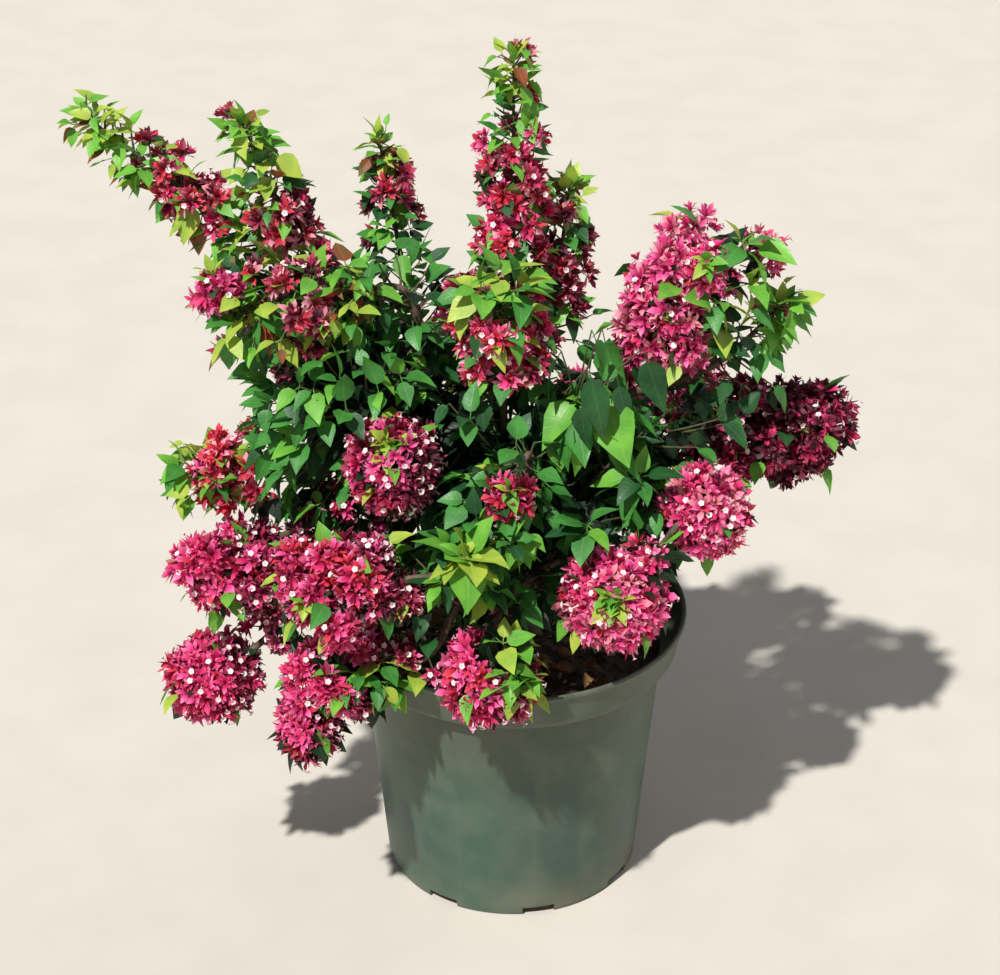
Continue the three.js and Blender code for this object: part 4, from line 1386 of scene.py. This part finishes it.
for mass in masses:
    if mass.habit in HABITS:
        grow_shoot(mass)
print("leaves:", sum(map(len, leaf_rows.values())), "bracts:", sum(map(len, bract_rows.values())))

# %% [markdown]
# Even spreading. What stands all round a form is placed by the golden angle, which leaves no rows: each place
# lies a little lower than the one before, and is turned on. A mass is as round as a capsule, so its places
# are also moved along its spine.


# %% Spreading over a form
def spread_round(axis, count, lowest=-1.0):
    """Directions spread evenly round an axis by the golden angle, down to the lowest level along it."""
    for k in range(count):
        level = 1 - (1 - lowest) * (k + 0.5) / count
        yield leaning(axis, math.degrees(math.acos(level)), k * GOLDEN_ANGLE), level


def capsule_surface(mass, count, share):
    """Places over a mass at a share of its radius, each with one on its spine and a direction outward."""
    middle = mass.near + mass.direction * (mass.long / 2)
    for outward, level in spread_round(mass.direction, count):
        stretch = mass.direction * (level * mass.long / 2)
        yield middle + stretch + outward * (share * mass.wide), middle + stretch * 0.8, outward


def swelling(mass, outward):
    """A smooth swelling from 0 to 1 that makes each bloom lumpy in its own way."""
    a, b, c = mass.waves
    wave = math.sin(3.4 * outward.x + a) + math.sin(3.9 * outward.y + b) + math.sin(3.6 * outward.z + c)
    return 0.5 + wave / 6


def jittered(chance, way, amount):
    """A direction that strays a little from another."""
    return (way + Vector([chance.uniform(-amount, amount) for _ in range(3)])).normalized()


def add_leaves_round(mass, root, axis, count, lowest, length, mixture, **looks):
    """Leaves from one place, spread round an axis down to the lowest level along it."""
    for way, _ in spread_round(axis, count, lowest):
        add_leaf(mass, root, way, length, pick(mass.random, mixture), **looks)


print("levels of three directions:", [round(level, 2) for _, level in spread_round(UP, 3)])

# %% [markdown]
# Blooms. A flowering head is a dense ball of florets with dark gaps between. Twigs run out from the spine to
# several smaller heads, and each head bears florets on its outer side. A pompom is the plain case, with all
# its florets round one middle. Some blooms are leafy on one side, or open round a green heart. Near-black
# leaves close a bloom's middle, which is painted shade, and larger ones stand between its heads. On pink
# blooms, heads turned away from the key light take darker bracts: painted shade too.

# %% Blooms
LEAFY_SIDES = {
    "upper_right": (0.78, -0.6, -0.1),
    "rim_bloom": (0.5, -0.2, 0.9),
    "low_front_left": (0.9, -0.5, 0.0),
}
LEAFY_FROM = 0.62
GREEN_HEARTS = {
    "front_right": heading(266, 24),
    "front_left": heading(238, 0),
    "centre_left": heading(265, 60),
    "upper_right": heading(266, 30),
}
HEART_REACH, HEADS_HEART_REACH = 0.965, 0.85
GREEN_HEART = dict(count=7, lowest=0.2, length=15, mixture=("young", "young", "bright"), keep=False, sag=0)
LEAFY_TUFT = dict(count=6, lowest=0.0, length=32, mixture=("bright", "bright", "young", "mid"), sag=0.5)
HEART_LIFT = 0.75
LEAF_FOR_FLORET, FLORET_LEAF = 0.03, 24
TUFT_JITTER, HEAD_JITTER, FLORET_JITTER, SHADE_JITTER = 0.3, 0.4, 0.25, 0.5
LEAFY_SIDE_TUFTS = 0.15
SECOND_HEAD_FROM = 40
HEAD_RADIUS = 27
HEAD_RADII = (0.65, 1.25)
HEAD_SPACING_RADIUS = 60
HEAD_DEPTHS, HEAD_EDGE, HEAD_SIZES = (0.35, 0.68), 0.9, (0.7, 1.2)
HEAD_TWIG = (1.4, 0.9)
HEADS_ON_A_BALL = 15
HEADS_SINK, HEADS_LIFT, HEADS_STRAY = 0.25, 0.14, 6
CM2_IN_M2 = 1e4
POMPOM_FLORETS_PER_CM2 = 0.62
POMPOM_LENGTH = 20
POMPOM_DEPTH, POMPOM_SWELL, POMPOM_STRAY = 0.58, 0.26, 0.08
POMPOM_SIZES = (0.75, 1.25)
POMPOM_TWIG = (0.7, 0.5)
HEAD_FLORETS = 22
BLOOM_BRACT = 13.5
BLOOM_PETALS = 10
FLOWER_SHARE = 0.3
LOWEST_LEVEL = -0.35
MISSING_HEADS = 0.12
OWN_TINT_WEIGHT = 9
SHADED_SIDE_BELOW = 0.1
AGED_AND_SHADED_BRACTS = (("crimson", 6), ("wine", 5), ("magenta", 1.5), ("salmon", 0.4))
AGED_FLOWERS = 0.8
OUTER_FINISHES = {"pale": "salmon", "dark": "magenta"}
SHADE_LEAVES, SHADE_DEPTH, SHADE_LEAF = 46, 0.3, 24
POMPOM_LEAVES, BLOOM_LEAVES, BLOOM_LEAF_DEPTH, BLOOM_LEAF = 3, 12, 0.62, 32


def bloom_looks(mass, outward):
    """Mixture and share of open flowers. Pink heads turned away from the key light take darker bracts, which
    is painted shade, and more open flowers.
    """
    # painted shade: heads that face away from the light take the darker mixture
    if mass.tint == "pink" and outward.dot(SUNNY_SIDE) < SHADED_SIDE_BELOW:
        return AGED_AND_SHADED_BRACTS, AGED_FLOWERS
    mixture = BRACT_MIXTURES[mass.tint]
    return mixture + ((pick(mass.random, mixture), OWN_TINT_WEIGHT),), FLOWER_SHARE


def is_leafy(mass, outward):
    """Whether a bloom has leaves in place of florets on this side."""
    side = Vector(LEAFY_SIDES.get(mass.name, (0, 0, 0)))
    return outward.dot(side) > LEAFY_FROM


def add_leafy_tuft(mass, root, outward):
    """Young leaves in place of a head."""
    add_leaves_round(mass, root, jittered(mass.random, outward, TUFT_JITTER), **LEAFY_TUFT)


def add_bloom_floret(mass, root, way, size, looks):
    """A bloom's floret, or now and then a young leaf in its place."""
    finishes, flower_share = looks
    if mass.random.random() < LEAF_FOR_FLORET:
        add_leaf(mass, root, way, FLORET_LEAF, mass.random.choice(("young", "bright")), keep=False)
        return
    outer = OUTER_FINISHES.get(mass.tint, "pink")
    add_floret(mass, root, way, BLOOM_BRACT * size, BLOOM_PETALS, finishes, outer, flower_share)


def grow_head(mass, middle, centre, outward, radius):
    """One head on its twig: florets spread over its outer side."""
    chance = mass.random
    add_twig(middle, centre, *HEAD_TWIG)
    looks = bloom_looks(mass, outward)
    for way, _ in spread_round(jittered(chance, outward, HEAD_JITTER), HEAD_FLORETS, LOWEST_LEVEL):
        root = centre + way * (radius * chance.uniform(*HEAD_DEPTHS))
        if mass.keeps_to_space(centre + way * (radius * HEAD_EDGE), FINE_TIP_DEPTH):
            towards = jittered(chance, way, FLORET_JITTER)
            add_bloom_floret(mass, root, towards, chance.uniform(*HEAD_SIZES), looks)


def grow_pompom(mass):
    """Florets all round one middle, and a small second head where the mass is long."""
    chance = mass.random
    middle = mass.far - mass.direction * (min(mass.long, POMPOM_LENGTH * MM) / 2)
    count = round(4 * math.pi * mass.wide**2 * CM2_IN_M2 * POMPOM_FLORETS_PER_CM2)
    heart = GREEN_HEARTS.get(mass.name)
    for outward, _ in spread_round(mass.direction, count):
        stray = chance.uniform(-POMPOM_STRAY, POMPOM_STRAY)
        depth = POMPOM_DEPTH + POMPOM_SWELL * swelling(mass, outward) + stray
        root = middle + outward * (mass.wide * depth)
        if not mass.keeps_to_space(root) or not is_free(root):
            continue
        if is_leafy(mass, outward):
            if chance.random() < LEAFY_SIDE_TUFTS:
                add_leafy_tuft(mass, root, outward)
            continue
        if heart and outward.dot(heart) > HEART_REACH:
            add_leaves_round(mass, root, outward, **GREEN_HEART)
            continue
        add_twig(middle, root, *POMPOM_TWIG)
        looks = bloom_looks(mass, outward)
        towards = jittered(chance, outward, FLORET_JITTER)
        add_bloom_floret(mass, root, towards, chance.uniform(*POMPOM_SIZES), looks)
    if mass.long > SECOND_HEAD_FROM * MM:
        grow_head(mass, middle, mass.near, (mass.near - middle).normalized(), HEAD_RADIUS * MM)


def grow_heads(mass):
    """Several heads over a long mass, the more the longer it is."""
    chance = mass.random
    count = round(HEADS_ON_A_BALL * (1 + mass.long / (2 * mass.wide)))
    heart = GREEN_HEARTS.get(mass.name)
    for surface, middle, outward in capsule_surface(mass, count, 1.0):
        radius = HEAD_RADIUS * MM * mass.wide / (HEAD_SPACING_RADIUS * MM) * chance.uniform(*HEAD_RADII)
        reach = 1 - radius / mass.wide - HEADS_SINK * swelling(mass, outward)
        centre = middle.lerp(surface, reach + chance.uniform(0, HEADS_LIFT))
        centre += Vector([chance.uniform(-1, 1) for _ in range(3)]) * (HEADS_STRAY * MM)
        missing = chance.random() < MISSING_HEADS
        if missing or not mass.keeps_to_space(centre) or not is_free(centre + outward * radius):
            continue
        if is_leafy(mass, outward):
            add_twig(middle, centre, *HEAD_TWIG)
            add_leafy_tuft(mass, centre, outward)
            continue
        grow_head(mass, middle, centre, outward, radius)
        if heart and outward.dot(heart) > HEADS_HEART_REACH:
            add_leaves_round(mass, centre + heart * (HEART_LIFT * radius), heart, **GREEN_HEART)


def grow_bloom_leaves(mass):
    """Near-black leaves close the bloom's middle as painted shade, and a few larger ones stand out between
    the heads.
    """
    for root, _, outward in capsule_surface(mass, SHADE_LEAVES, SHADE_DEPTH):
        way = jittered(mass.random, outward, SHADE_JITTER)
        add_leaf(mass, root, way, SHADE_LEAF, "shade", keep=False)
    count = POMPOM_LEAVES if mass.name in POMPOMS else BLOOM_LEAVES
    for root, _, outward in capsule_surface(mass, count, BLOOM_LEAF_DEPTH):
        add_leaf(mass, root, outward, BLOOM_LEAF)


def grow_bloom(mass):
    """A whole bloom: its stem, its head or heads, and its leaves."""
    grow_stem(mass)
    if mass.name in POMPOMS:
        grow_pompom(mass)
    else:
        grow_heads(mass)
    grow_bloom_leaves(mass)


print("pompoms:", len(POMPOMS), "blooms in all:", sum(mass.habit == "bloom" for mass in masses))

# %% [markdown]
# Inside and on the edge. Large near-black leaves close the heart of the crown to the light, and their colour
# is painted shade. Twigs with lighter leaves stand round it. Before that shade hang the largest leaves of the
# plant, each on its own, mostly deep green as painted half shade, and fine young leaves grow in stars. A few
# shoots end in tufts, or bear one flowering head at a place of its own.

# %% Inner leaves, stars and lone heads
CORE_DEPTHS = (0.15, 0.3, 0.45)
CORE_LEAVES = 150
CORE_LEAF, CORE_JITTER = 28, 0.8
OUTER_TWIGS = {"lit": 190, "green": 48}
OUTER_DEPTH, OUTER_TIPS, OUTER_TWIG = 0.92, (0.75, 1), (1.1, 0.7)
OUTER_LEAF, OUTER_LEAVES = 27, 3
OUTER_JITTER, FIRST_OUTER_LEAN, OUTER_LEAN_STEP = 0.4, 20, 18
HANGING_LEAVES = 8
HANGING_TOWARDS = 290
HANGING_LIFT = 42
HANGING_DEPTHS = (0.6, 0.95)
HANGING_LEAF, HANGING_BREADTH = 50, 0.72
# mostly deep green: painted shade, as these leaves hang in half shade
HANGING_FINISHES = ("deep", "deep", "mid")
HANGING_TWIG = (1.0, 0.7)
ROSETTES, ROSETTE_DEPTH = 9, 0.68
ROSETTES_FROM = 42
STAR_TOWARDS = heading(264, 34)
ROSETTE_HEART = (("young", 5), ("bright", 3))
ROSETTE_EDGE = (("mid", 6), ("bright", 4), ("deep", 2), ("young", 1))
ROSETTE = dict(count=9, lowest=0.0, length=24, mixture=ROSETTE_EDGE, keep=False, sag=0.1)
STAR_DEPTH = 0.75
STAR_RINGS = ((0, dict(count=10, length=36, broad=1.3)), (3, dict(count=9, length=18)))
SHORT_TWIG = (1.2, 0.8)
LEAFY_ENDS = {
    "left_tip": (heading(180, 8), heading(205, -28), heading(165, 25), heading(300, 10)),
    "centre_cluster": (heading(262, 72), heading(225, 42), heading(312, 42)),
}
LEAFY_END_REACH = 0.55
LONE_FLORETS, LONE_LOWEST, LONE_HEART_FROM = 30, -0.6, 0.93
LONE_DEPTHS, LONE_SIZES = (0.3, 0.62), (0.8, 1.2)
LONE_HEADS = {
    "front_rosettes": (0.0, heading(292, 42), 28, (("scarlet", 3), ("pink", 3), ("magenta", 2))),
    "left_shoulder": (1.0, heading(190, 72), 30, (("magenta", 5), ("pink", 4), ("crimson", 1))),
    "left_tip": (0.6, heading(262, 22), 36, (("scarlet", 6), ("crimson", 2), ("pink", 1))),
}


def close_middle(mass):
    """Large near-black leaves in the heart of the crown, painted shade, and twigs with leaves round it."""
    chance = mass.random
    for share in CORE_DEPTHS:
        for root, _, outward in capsule_surface(mass, CORE_LEAVES, share):
            if leaves_room(root):
                way = jittered(chance, outward, CORE_JITTER)
                add_leaf(mass, root, way, CORE_LEAF, "shade", keep=False)
    for surface, middle, outward in capsule_surface(mass, OUTER_TWIGS[mass.tint], OUTER_DEPTH):
        tip = middle.lerp(surface, chance.uniform(*OUTER_TIPS))
        if not (leaves_room(tip) and is_free(tip) and mass.keeps_to_space(tip)):
            continue
        add_twig(middle.lerp(tip, 0.4), tip, *OUTER_TWIG)
        for leaf in range(OUTER_LEAVES):
            axis = jittered(chance, outward, OUTER_JITTER)
            way = leaning(axis, FIRST_OUTER_LEAN + OUTER_LEAN_STEP * leaf, leaf * GOLDEN_ANGLE)
            add_leaf(mass, tip, way, OUTER_LEAF)


def grow_hanging_leaves(mass):
    """The largest leaves of the plant, each on its own, hanging before the shade."""
    chance = mass.random
    for way, _ in spread_round(heading(HANGING_TOWARDS, 30), HANGING_LEAVES, 0.1):
        root = mass.near.lerp(mass.far, 0.5) + way * (chance.uniform(*HANGING_DEPTHS) * mass.wide)
        root += UP * (HANGING_LIFT * MM)
        add_twig(mass.near, root, *HANGING_TWIG)
        drop = jittered(chance, way * 0.4 - UP + heading(HANGING_TOWARDS, 0) * 0.2, 0.25)
        finish = chance.choice(HANGING_FINISHES)
        add_leaf(mass, root, drop, HANGING_LEAF, finish, HANGING_BREADTH, keep=False, sag=0.1)


def grow_rosettes(mass):
    """Fine young leaves in stars on the outer side, away from the small bloom where the shoot begins."""
    chance = mass.random
    for root, middle, outward in capsule_surface(mass, ROSETTES, ROSETTE_DEPTH):
        if not is_free(root) or (root - mass.near).length < ROSETTES_FROM * MM:
            continue
        add_twig(middle, root, *SHORT_TWIG)
        add_leaves_round(mass, root, jittered(chance, outward, 0.2), **ROSETTE)
    star = mass.far + STAR_TOWARDS * (STAR_DEPTH * mass.wide)
    add_twig(mass.far, star, *SHORT_TWIG)
    for lift, ring in STAR_RINGS:
        star_looks = {**ROSETTE, "mixture": ROSETTE_HEART, **ring}
        add_leaves_round(mass, star + STAR_TOWARDS * (lift * MM), STAR_TOWARDS, **star_looks)


def grow_lone_head(mass, share, towards, radius, mixture):
    """One flowering head at a place of its own on a leafy shoot."""
    foot = mass.near.lerp(mass.far, share)
    centre = foot + towards * (mass.wide - radius * MM)
    add_twig(foot, centre, *HEAD_TWIG)
    for way, level in spread_round(towards, LONE_FLORETS, LONE_LOWEST):
        root = centre + way * (radius * MM * mass.random.uniform(*LONE_DEPTHS))
        if level > LONE_HEART_FROM:
            add_leaves_round(mass, root, way, **GREEN_HEART)
        elif is_free(root):
            size = mass.random.uniform(*LONE_SIZES)
            add_bloom_floret(mass, root, jittered(mass.random, way, 0.2), size, (mixture, FLOWER_SHARE))


for mass in masses:
    if mass.inner:
        close_middle(mass)
    if mass.habit == "hanging":
        grow_hanging_leaves(mass)
    if mass.tint == "rosette":
        grow_rosettes(mass)
    for way in LEAFY_ENDS.get(mass.name, ()):
        tip = mass.far + way * (LEAFY_END_REACH * mass.wide)
        add_twig(mass.far, tip, *SHORT_TWIG)
        add_leafy_tuft(mass, tip, way)
    if mass.name in LONE_HEADS:
        grow_lone_head(mass, *LONE_HEADS[mass.name])
    if mass.habit == "bloom":
        grow_bloom(mass)
print("leaves:", sum(map(len, leaf_rows.values())), "bracts:", sum(map(len, bract_rows.values())))

# %% [markdown]
# Along the boughs. From outside, the crown is closed by short twigs on the boughs themselves, with leaves
# of dark and near-black greens: painted shade, as little light gets in there. Some boughs bear old florets
# there, whose dark bracts are partly painted shade, and two tufts catch the light between the blooms. The
# lower third of each bough is bare, as on the real plant.

# %% Twigs along the boughs
BOUGH_LEAF_STEP = 5.5
BARE_SHARE = 0.3
# painted shade: leaves on the boughs take dark finishes, standing in for the shade inside the crown
BOUGH_LEAVES = (("shade", 3), ("deep", 5), ("mid", 4))
BOUGH_ENDS = {"pompom": 0.8, "bloom": 0.93}
BOUGH_TWIG = (1.2, 0.7)
BOUGH_TWIG_LEANS, BOUGH_TWIG_REACHES = (50, 85), (8, 48)
FLOWERING_FROM = 0.6
FLOWERING_BOUGHS = {
    "low_left": 0.8,
    "low_front_left": 0.5,
    "left_middle": 0.5,
    "right_wing": 0.7,
    "front_left": 0.3,
}
BOUGH_FLORETS = 3
BOUGH_BRACT = 12.5
OLD_STALK, OLD_LEAN = 5, 20
BOUGH_LEAF, BOUGH_LEAF_COUNTS = 26, (1, 2, 3)
BOUGH_LEAF_LEANS, BOUGH_LEAF_TURN = (10, 60), 2.1
BOUGH_TUFTS = (("front_right", 0.7, heading(228, 16), 84), ("front_right", 0.86, heading(203, 46), 56))
BOUGH_TUFT_TWIG = (1.3, 0.8)
BOUGH_TUFT = dict(count=8, lowest=-0.2, length=33, mixture=("mid", "mid", "bright", "deep"), keep=False)


def add_old_florets(mass, tip, outward, turn):
    """A few dark florets round the tip of a twig."""
    for k in range(BOUGH_FLORETS):
        way = leaning(outward, OLD_LEAN * (k + 1), turn + k * GOLDEN_ANGLE)
        foot = tip + way * (OLD_STALK * MM)
        add_twig(tip, foot, *FLORET_STALK)
        add_floret(mass, foot, way, BOUGH_BRACT, BLOOM_PETALS, AGED_AND_SHADED_BRACTS, "pink", AGED_FLOWERS)


def grow_along_bough(mass):
    """Short twigs round a bough, with leaves or old florets at their tips."""
    chance, curve = mass.random, limbs[mass.name][1]
    count = int(curve.length / (BOUGH_LEAF_STEP * MM))
    end = BOUGH_ENDS.get("pompom" if mass.name in POMPOMS else mass.habit, 1)
    turn = 0.0
    for k in range(count):
        share = BARE_SHARE + (end - BARE_SHARE) * (k + 0.5) / count
        point, way = Vector(curve.at(share)), curve.way(share)
        turn += GOLDEN_ANGLE
        outward = leaning(way, chance.uniform(*BOUGH_TWIG_LEANS), turn)
        tip = point + outward * (chance.uniform(*BOUGH_TWIG_REACHES) * MM)
        if not is_free(tip) or (mass.name not in ROOM_ROUND and not leaves_room(tip)):
            continue
        add_twig(point, tip, *BOUGH_TWIG)
        if share > FLOWERING_FROM and chance.random() < FLOWERING_BOUGHS.get(mass.name, 0):
            add_old_florets(mass, tip, outward, turn)
            continue
        for leaf in range(chance.choice(BOUGH_LEAF_COUNTS)):
            leaf_way = leaning(outward, chance.uniform(*BOUGH_LEAF_LEANS), turn + leaf * BOUGH_LEAF_TURN)
            add_leaf(mass, tip, leaf_way, BOUGH_LEAF, pick(chance, BOUGH_LEAVES), keep=False)


def grow_bough_tuft(mass, share, towards, reach):
    """Leaves round the tip of a short twig that leaves a bough, where light falls between the blooms."""
    foot = Vector(limbs[mass.name][1].at(share))
    tip = foot + towards * (reach * MM)
    add_twig(foot, tip, *BOUGH_TUFT_TWIG)
    add_leaves_round(mass, tip, towards, **BOUGH_TUFT)


for mass in masses:
    if not mass.inner:
        grow_along_bough(mass)
for name, *tuft in BOUGH_TUFTS:
    grow_bough_tuft(by_name[name], *tuft)
print("leaves with the boughs':", sum(map(len, leaf_rows.values())))

# %% [markdown]
# Leaf and bract finishes. Both are thin and let light through, so the material mixes a plain surface with a
# translucent one: a leaf with the sun behind it glows. A waxy leaf has a soft gloss, and a bract is papery
# and dull. The colours differ from piece to piece, and the mottling and veins only soften them.

# %% Blade materials
LEAF_COLOURS = {
    # the shade finish is painted shade: near-black green for leaves deep inside the crown
    "shade": (paint(24, 52, 28), paint(16, 38, 20)),
    "deep": (paint(40, 98, 46), paint(30, 76, 38)),
    "mid": (paint(74, 150, 60), paint(58, 126, 52)),
    "bright": (paint(122, 190, 64), paint(98, 168, 56)),
    "young": (paint(186, 204, 78), paint(150, 186, 66)),
    "bronze": (paint(156, 76, 44), paint(118, 84, 44)),
}
BRACT_COLOURS = {
    "magenta": (paint(234, 34, 114), paint(214, 24, 102)),
    "pink": (paint(244, 78, 154), paint(236, 56, 138)),
    "salmon": (paint(248, 160, 168), paint(240, 124, 146)),
    "scarlet": (paint(228, 46, 72), paint(204, 32, 62)),
    "crimson": (paint(184, 26, 78), paint(152, 18, 64)),
    "wine": (paint(104, 14, 42), paint(76, 9, 32)),
}
VEINS_SHOW = {"shade": 0.04, "deep": 0.14, "mid": 0.25, "bright": 0.3, "young": 0.3, "bronze": 0.3}
# pale bract tips: partly the bracts' own fading, partly painted highlight
PALE_TIP = paint(255, 204, 228)
PALE_TIPPED = {"magenta": 0.12, "pink": 0.4, "salmon": 0.5, "scarlet": 0.08, "crimson": 0.1, "wine": 0.05}
LEAF_VEIN, BRACT_VEIN = paint(190, 214, 130), paint(250, 190, 200)
FOOT_PAINTED_SHADE = 0.3
BLADE_DULLS = 0.14


def blend(colour, other, share):
    """A colour a share of the way to another."""
    return [(1 - share) * one + share * two for one, two in zip(colour, other)]


def blade_material(name, colours, vein, vein_amount, foot_amount, roughness, glow, tip_amount=0.0):
    """A thin veined blade that lets light through."""
    roughnesses = (roughness, roughness + BLADE_DULLS)
    material, tree, shader, tone = mottled_material(name, *colours, 60.0, roughnesses)
    veined = use_group(
        tree,
        vein_group,
        Colour=tone["Colour"],
        Vein_Colour=vein,
        # painted shade: a blade's foot darkens towards a third of its own colour
        Foot_Colour=[FOOT_PAINTED_SHADE * c for c in colours[1][:3]] + [1],
        Tip_Colour=PALE_TIP,
        Amount=vein_amount,
        Foot_Amount=foot_amount,
        Tip_Amount=tip_amount,
    )
    feed(tree, shader.inputs["Base Color"], veined["Colour"])
    raise_surface(tree, shader, veined["Height"], 0.25, 0.0008)
    through = add_node(tree, "BsdfTranslucent", None, Color=veined["Colour"])
    both = add_node(tree, "MixShader", None, at0=glow, at1=shader.outputs[0], at2=through.outputs[0])
    feed(tree, tree.nodes["Material Output"].inputs["Surface"], both.outputs[0])
    return material


def make_blades(name, material, rows, outline, stands_for=()):
    """All blades of one finish, as one piece."""
    pile = Pile()
    add_blades(pile, rows, outline)
    make_piece(name, pile, material, stands_for)


for finish, colours in LEAF_COLOURS.items():
    vein = blend(colours[0], LEAF_VEIN, 0.4)
    material = blade_material("leaf " + finish, colours, vein, VEINS_SHOW[finish], 0.2, 0.42, 0.25)
    where = sorted(grown_in[finish])
    make_blades("leaves_" + finish, material, leaf_rows[finish], LEAF_OUTLINE, where)
for finish, colours in BRACT_COLOURS.items():
    vein = blend(colours[0], BRACT_VEIN, 0.25)
    material = blade_material("bract " + finish, colours, vein, 0.4, 0.85, 0.55, 0.24, PALE_TIPPED[finish])
    where = sorted(grown_in[finish])
    make_blades("bracts_" + finish, material, bract_rows[finish], BRACT_OUTLINE, where)

# %% [markdown]
# Flowers and twigs. The true flower is a slim tube with a cream star at its mouth, only a few millimetres
# across: from a distance, a pale dot on the bracts. It is a three-sided cone with a five-pointed star on it.
# The twigs were gathered while the plant grew, and only need their bark.

# %% Flowers
STAR_POINTS = 5
STAR_RADIUS = 3.1
STAR_WAIST = 2.5
STAR_HOLLOW = 1.2
TUBE_SIDES = 3
TUBE_RADIUS = 0.9


def flower_pile(rows):
    """All flowers: on each, a star with a hollow middle at the mouth of a tube."""
    rows = np.array(rows)
    rim_count = 2 * STAR_POINTS
    angles, here = around(rim_count), np.arange(rim_count)
    radii = np.where(here % 2 == 0, STAR_RADIUS, STAR_WAIST) * MM
    rim = np.stack([radii * np.cos(angles), 0 * angles, radii * np.sin(angles)], 1)
    mouth = rim[::TUBE_SIDES][:TUBE_SIDES] / STAR_RADIUS * TUBE_RADIUS
    template = np.concatenate([rim, [[0, -STAR_HOLLOW * MM, 0]], mouth, mouth * 0.5])
    local = template[None] + np.zeros((len(rows), 1, 1))
    reach = rows[:, 6:7]
    first_mouth, first_foot = rim_count + 1, rim_count + 1 + TUBE_SIDES
    local[:, :first_foot, 1] += reach
    local[:, :rim_count, 1] += 0.5 * MM
    faces = [np.stack([np.full(rim_count, rim_count), (here + 1) % rim_count, here], 1)]
    side = np.arange(TUBE_SIDES)
    after = (side + 1) % TUBE_SIDES
    faces += [np.stack([first_foot + side, first_mouth + side, first_mouth + after], 1)]
    faces += [np.stack([first_foot + side, first_mouth + after, first_foot + after], 1)]
    pile = Pile()
    fronts = rows[:, 3:6][:, [1, 2, 0]] + 0.01
    points = to_world(local, rows[:, 0:3], rows[:, 3:6], fronts)
    pile.add(points, repeated(np.concatenate(faces), len(rows), len(template)))
    return pile


colours = paint(248, 232, 222), paint(244, 196, 206)
flower_cream = mottled_material("flower cream", *colours, 90.0, (0.5, 0.65))[0]
make_piece("flowers", flower_pile(flower_rows), flower_cream, sorted(grown_in["flowers"]))
green_stem = bark_material("green stem", paint(70, 96, 48), paint(92, 62, 46), 24.0, 0.5, 0.0003)
make_piece("young_twigs", green_twigs, green_stem, MASS_NODES)
make_piece("stems", brown_twigs, twig_bark, MASS_NODES)

# %% [markdown]
# Dry leaves. A few old leaves have dropped on the potting mix and curled up, papery and brown. They use the
# leaf outline with a strong fold, and lie about flat on the soil, all round the stem.

# %% Dry leaves on the soil
DRY_LEAVES = 46
DRY_LIFT = 3.5
DRY_SIZES = (16, 30)
DRY_DROOPS, DRY_FOLDS = (-0.3, 0.1), (0.5, 1.1)
DRY_TILTS = (-0.02, 0.12)

dry_random = random.Random(77)
rows = []
for _ in range(DRY_LEAVES):
    angle = dry_random.uniform(0, 2 * math.pi)
    root = on_soil(dry_random.uniform(60, soil_edge_radius - 24), angle, DRY_LIFT) * MM
    turn = dry_random.uniform(0, 2 * math.pi)
    way = (math.cos(turn), math.sin(turn), dry_random.uniform(*DRY_TILTS))
    size = dry_random.uniform(*DRY_SIZES) * MM
    droop, fold = dry_random.uniform(*DRY_DROOPS), dry_random.uniform(*DRY_FOLDS)
    rows.append((*root, *way, *UP, size, 0.9, fold, droop, 0.08, turn, 0))
colours = paint(150, 112, 66), paint(104, 74, 44)
dry_leaf = blade_material("dry leaf", colours, paint(186, 150, 100), 0.5, 0.2, 0.7, 0.15)
make_blades("dry_leaves", dry_leaf, rows, LEAF_OUTLINE)

# %% [markdown]
# Stage and light. The floor is plain and pale. The key light stands high at the front left, as the sun does
# in the photograph, and is a little broader than the sun, which softens the edges of the shadows. The sky
# light fills the shade, and a weak, broad lamp from the right and behind keeps the far side readable.

# %% Floor and lights
FLOOR_HALF = 9.0
KEY_WAY = Vector((0.48, 0.78, -1.3))
KEY_STRENGTH = 4.6
KEY_ANGLE = 1.6
SKY_STRENGTH = 0.26
RIM_WAY = Vector((-0.7, -0.55, -0.6))
RIM_STRENGTH = 0.35
RIM_ANGLE = 30
SKY_COLOUR = (0.86, 0.9, 1.0, 1)

floor_mesh = bpy.data.meshes.new("floor")
corners = [(x * FLOOR_HALF, y * FLOOR_HALF, 0) for x, y in ((-1, -1), (1, -1), (1, 1), (-1, 1))]
floor_mesh.from_pydata(corners, [], [(0, 1, 2, 3)])
floor_colours = paint(204, 197, 184), paint(200, 193, 180)
floor_mesh.materials.append(mottled_material("floor", *floor_colours, 9.0, (0.85, 0.9))[0])
floor = new_object("floor", floor_mesh)


def add_sun(name, way, strength, angle):
    """A lamp whose light falls along one direction. Its angle in degrees softens the shadows."""
    lamp = bpy.data.lights.new(name, "SUN")
    lamp.energy = strength
    lamp.angle = math.radians(angle)
    new_object(name, lamp).rotation_euler = way.to_track_quat("-Z", "Y").to_euler()


add_sun("key_light", KEY_WAY, KEY_STRENGTH, KEY_ANGLE)
add_sun("rim_light", RIM_WAY, RIM_STRENGTH, RIM_ANGLE)
sky = bpy.data.worlds.new("sky")
sky.use_nodes = True
background = sky.node_tree.nodes["Background"]
background.inputs["Color"].default_value = SKY_COLOUR
background.inputs["Strength"].default_value = SKY_STRENGTH
bpy.context.scene.world = sky
bpy.context.scene.view_settings.view_transform = "Standard"
print("key light falls along", tuple(round(v, 2) for v in KEY_WAY.normalized()))
